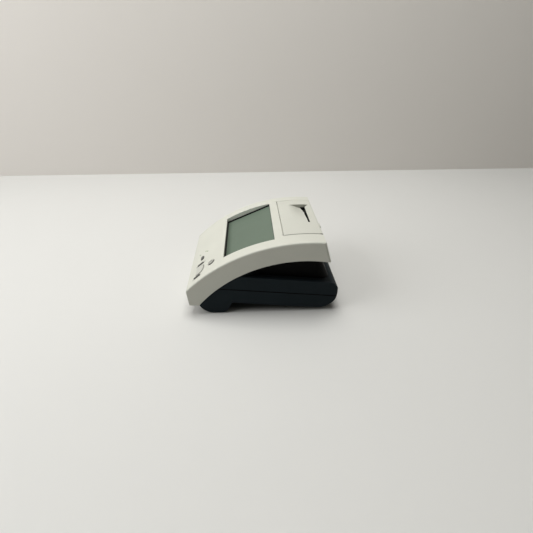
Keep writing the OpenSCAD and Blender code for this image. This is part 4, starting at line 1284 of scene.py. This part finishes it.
@dataclass
class Studio:
    """A plain pale floor and wall, soft lamps, a faint sky and the camera.

    Under the part the floor has a painted shadow: its colour times the factor `under`. That area
    fades out between the two half sizes of `under_x` and `under_y`, about a middle at y =
    `under_middle`.
    """

    floor_colour: Colour = (0.765, 0.76, 0.735)
    wall_colour: Colour = (0.91, 0.87, 0.82)
    sky_colour: Colour = (0.92, 0.925, 0.84)
    sky_light: float = 0.12
    sky_seen: Colour = (0.50, 0.485, 0.45)
    # Painted shadow on the floor under the part.
    under: float = 0.2
    under_x: Span = (0.064, 0.075)
    under_y: Span = (0.072, 0.084)
    under_middle: float = 0.010
    wall_x: float = -0.535
    room: float = 8.0
    cells: int = 9
    bounce: float = 0.7
    cloud: float = 0.5
    clouding: float = 0.985
    patch: float = 0.05
    roughness: Span = (0.6, 0.7)
    level: float = 0.25
    aim: Point = (0.0, 0.0, 0.04)
    lamps: tuple[Lamp, ...] = (
        Lamp("overhead", (-0.27, -0.05, 1.5), 0.9, 16.8, (1.0, 1.0, 0.985)),
        Lamp("window", (0.28, -1.15, 0.82), 0.9, 8.8, (0.985, 0.99, 1.0)),
    )
    eye: Point = (0.4390, -0.0145, 0.2855)
    right: Point = (0.0511, 0.9987, 0.0)
    up: Point = (-0.5147, 0.0263, 0.8570)
    back: Point = (0.8558, -0.0438, 0.5154)
    lens: float = 24.315
    sensor: float = 36.0
    clip: Span = (0.01, 50.0)

    def sheet(
        self, name: str, along: Point, across: Point, colour: Colour, under: float = 1.0
    ) -> None:
        """A wide plain sheet behind or under the object: its corner plus shares of two edges.

        Args:
            name: The sheet's name.
            along: Edge from the corner where wall and floor meet.
            across: The other edge; the front faces along x across.
            colour: Its paint.
            under: Factor of its colour right under the object, a painted shadow where the floor
                isn't seen from above.
        """
        share = np.linspace(0, 1, self.cells)
        u, v = (grid[..., None] for grid in np.meshgrid(share, share, indexing="ij"))
        corner = np.array((self.wall_x, -self.room / 2, 0))
        made = surface(name, corner + u * np.array(along) + v * np.array(across))
        g = Graph(name + "_paint")
        path = g.add("ShaderNodeLightPath").outputs
        seen = g.either(path["Is Camera Ray"], path["Is Glossy Ray"])
        seen = g.either(seen, path["Is Transmission Ray"])
        pale = g.clouded(colour, g.noise(self.cloud, 2), self.clouding, 1.0)
        x, y, _ = g.axes()
        # Painted shadow on the floor under the object.
        in_x = g.spread(g.distance(x), 1, 0, *self.under_x)
        in_y = g.spread(g.distance(y, self.under_middle), 1, 0, *self.under_y)
        pale = g.blend(g.calc("MINIMUM", in_x, in_y), pale, shade(colour, under))
        g.paint(g.blend(seen, shade(colour, self.bounce), pale))
        g.polish(g.spread(g.noise(self.patch, 2), *self.roughness))
        g.fix(specular_ior_level=self.level)
        made.data.materials.append(g.material)

    def sky(self) -> None:
        """A world that lights the object faintly and shows as a pale backdrop."""
        world = bpy.data.worlds.new("sky")
        world.use_nodes = True
        tree = world.node_tree
        lit = tree.nodes["Background"]
        seen = tree.nodes.new("ShaderNodeBackground")
        lit.inputs["Color"].default_value = (*self.sky_colour, 1.0)
        lit.inputs["Strength"].default_value = self.sky_light
        seen.inputs["Color"].default_value = (*self.sky_seen, 1.0)
        seen.inputs["Strength"].default_value = 1.0
        path = tree.nodes.new("ShaderNodeLightPath")
        straight = path.outputs["Is Camera Ray"]
        for ray in ("Is Glossy Ray", "Is Transmission Ray"):
            either = tree.nodes.new("ShaderNodeMath")
            either.operation = "MAXIMUM"
            tree.links.new(straight, either.inputs[0])
            tree.links.new(path.outputs[ray], either.inputs[1])
            straight = either.outputs["Value"]
        mix = tree.nodes.new("ShaderNodeMixShader")
        tree.links.new(straight, mix.inputs[0])
        tree.links.new(lit.outputs["Background"], mix.inputs[1])
        tree.links.new(seen.outputs["Background"], mix.inputs[2])
        tree.links.new(mix.outputs["Shader"], tree.nodes["World Output"].inputs["Surface"])
        bpy.context.scene.world = world

    def camera(self) -> None:
        """Makes the camera from its place and its three axes."""
        data = bpy.data.cameras.new("camera")
        data.sensor_width, data.lens = self.sensor, self.lens
        data.clip_start, data.clip_end = self.clip
        made = bpy.data.objects.new("camera", data)
        turn = Matrix((self.right, self.up, self.back)).transposed().to_4x4()
        made.matrix_world = Matrix.Translation(self.eye) @ turn
        bpy.context.scene.collection.objects.link(made)
        bpy.context.scene.camera = made

    def build(self) -> None:
        """Makes the floor, the wall, the lamps, the sky and the camera."""
        depth, width, height = (self.room, 0, 0), (0, self.room, 0), (0, 0, self.room / 2)
        self.sheet("floor", depth, width, self.floor_colour, self.under)
        self.sheet("wall", width, height, self.wall_colour)
        for lamp in self.lamps:
            lamp.hang(self.aim)
        self.sky()
        self.camera()
        bpy.context.scene.view_settings.view_transform = "Standard"


def main() -> None:
    """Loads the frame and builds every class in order."""
    logging.basicConfig(level=logging.INFO, format="%(name)s: %(message)s")
    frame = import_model()
    palette = Palette()
    for kind in (Cover, Base, Display, Keypad, Printer, Circuits):
        kind(frame["nodes"], palette).build()
        log.info("%s is done", kind.__name__)
    Studio().build()


if __name__ == "__main__":
    main()
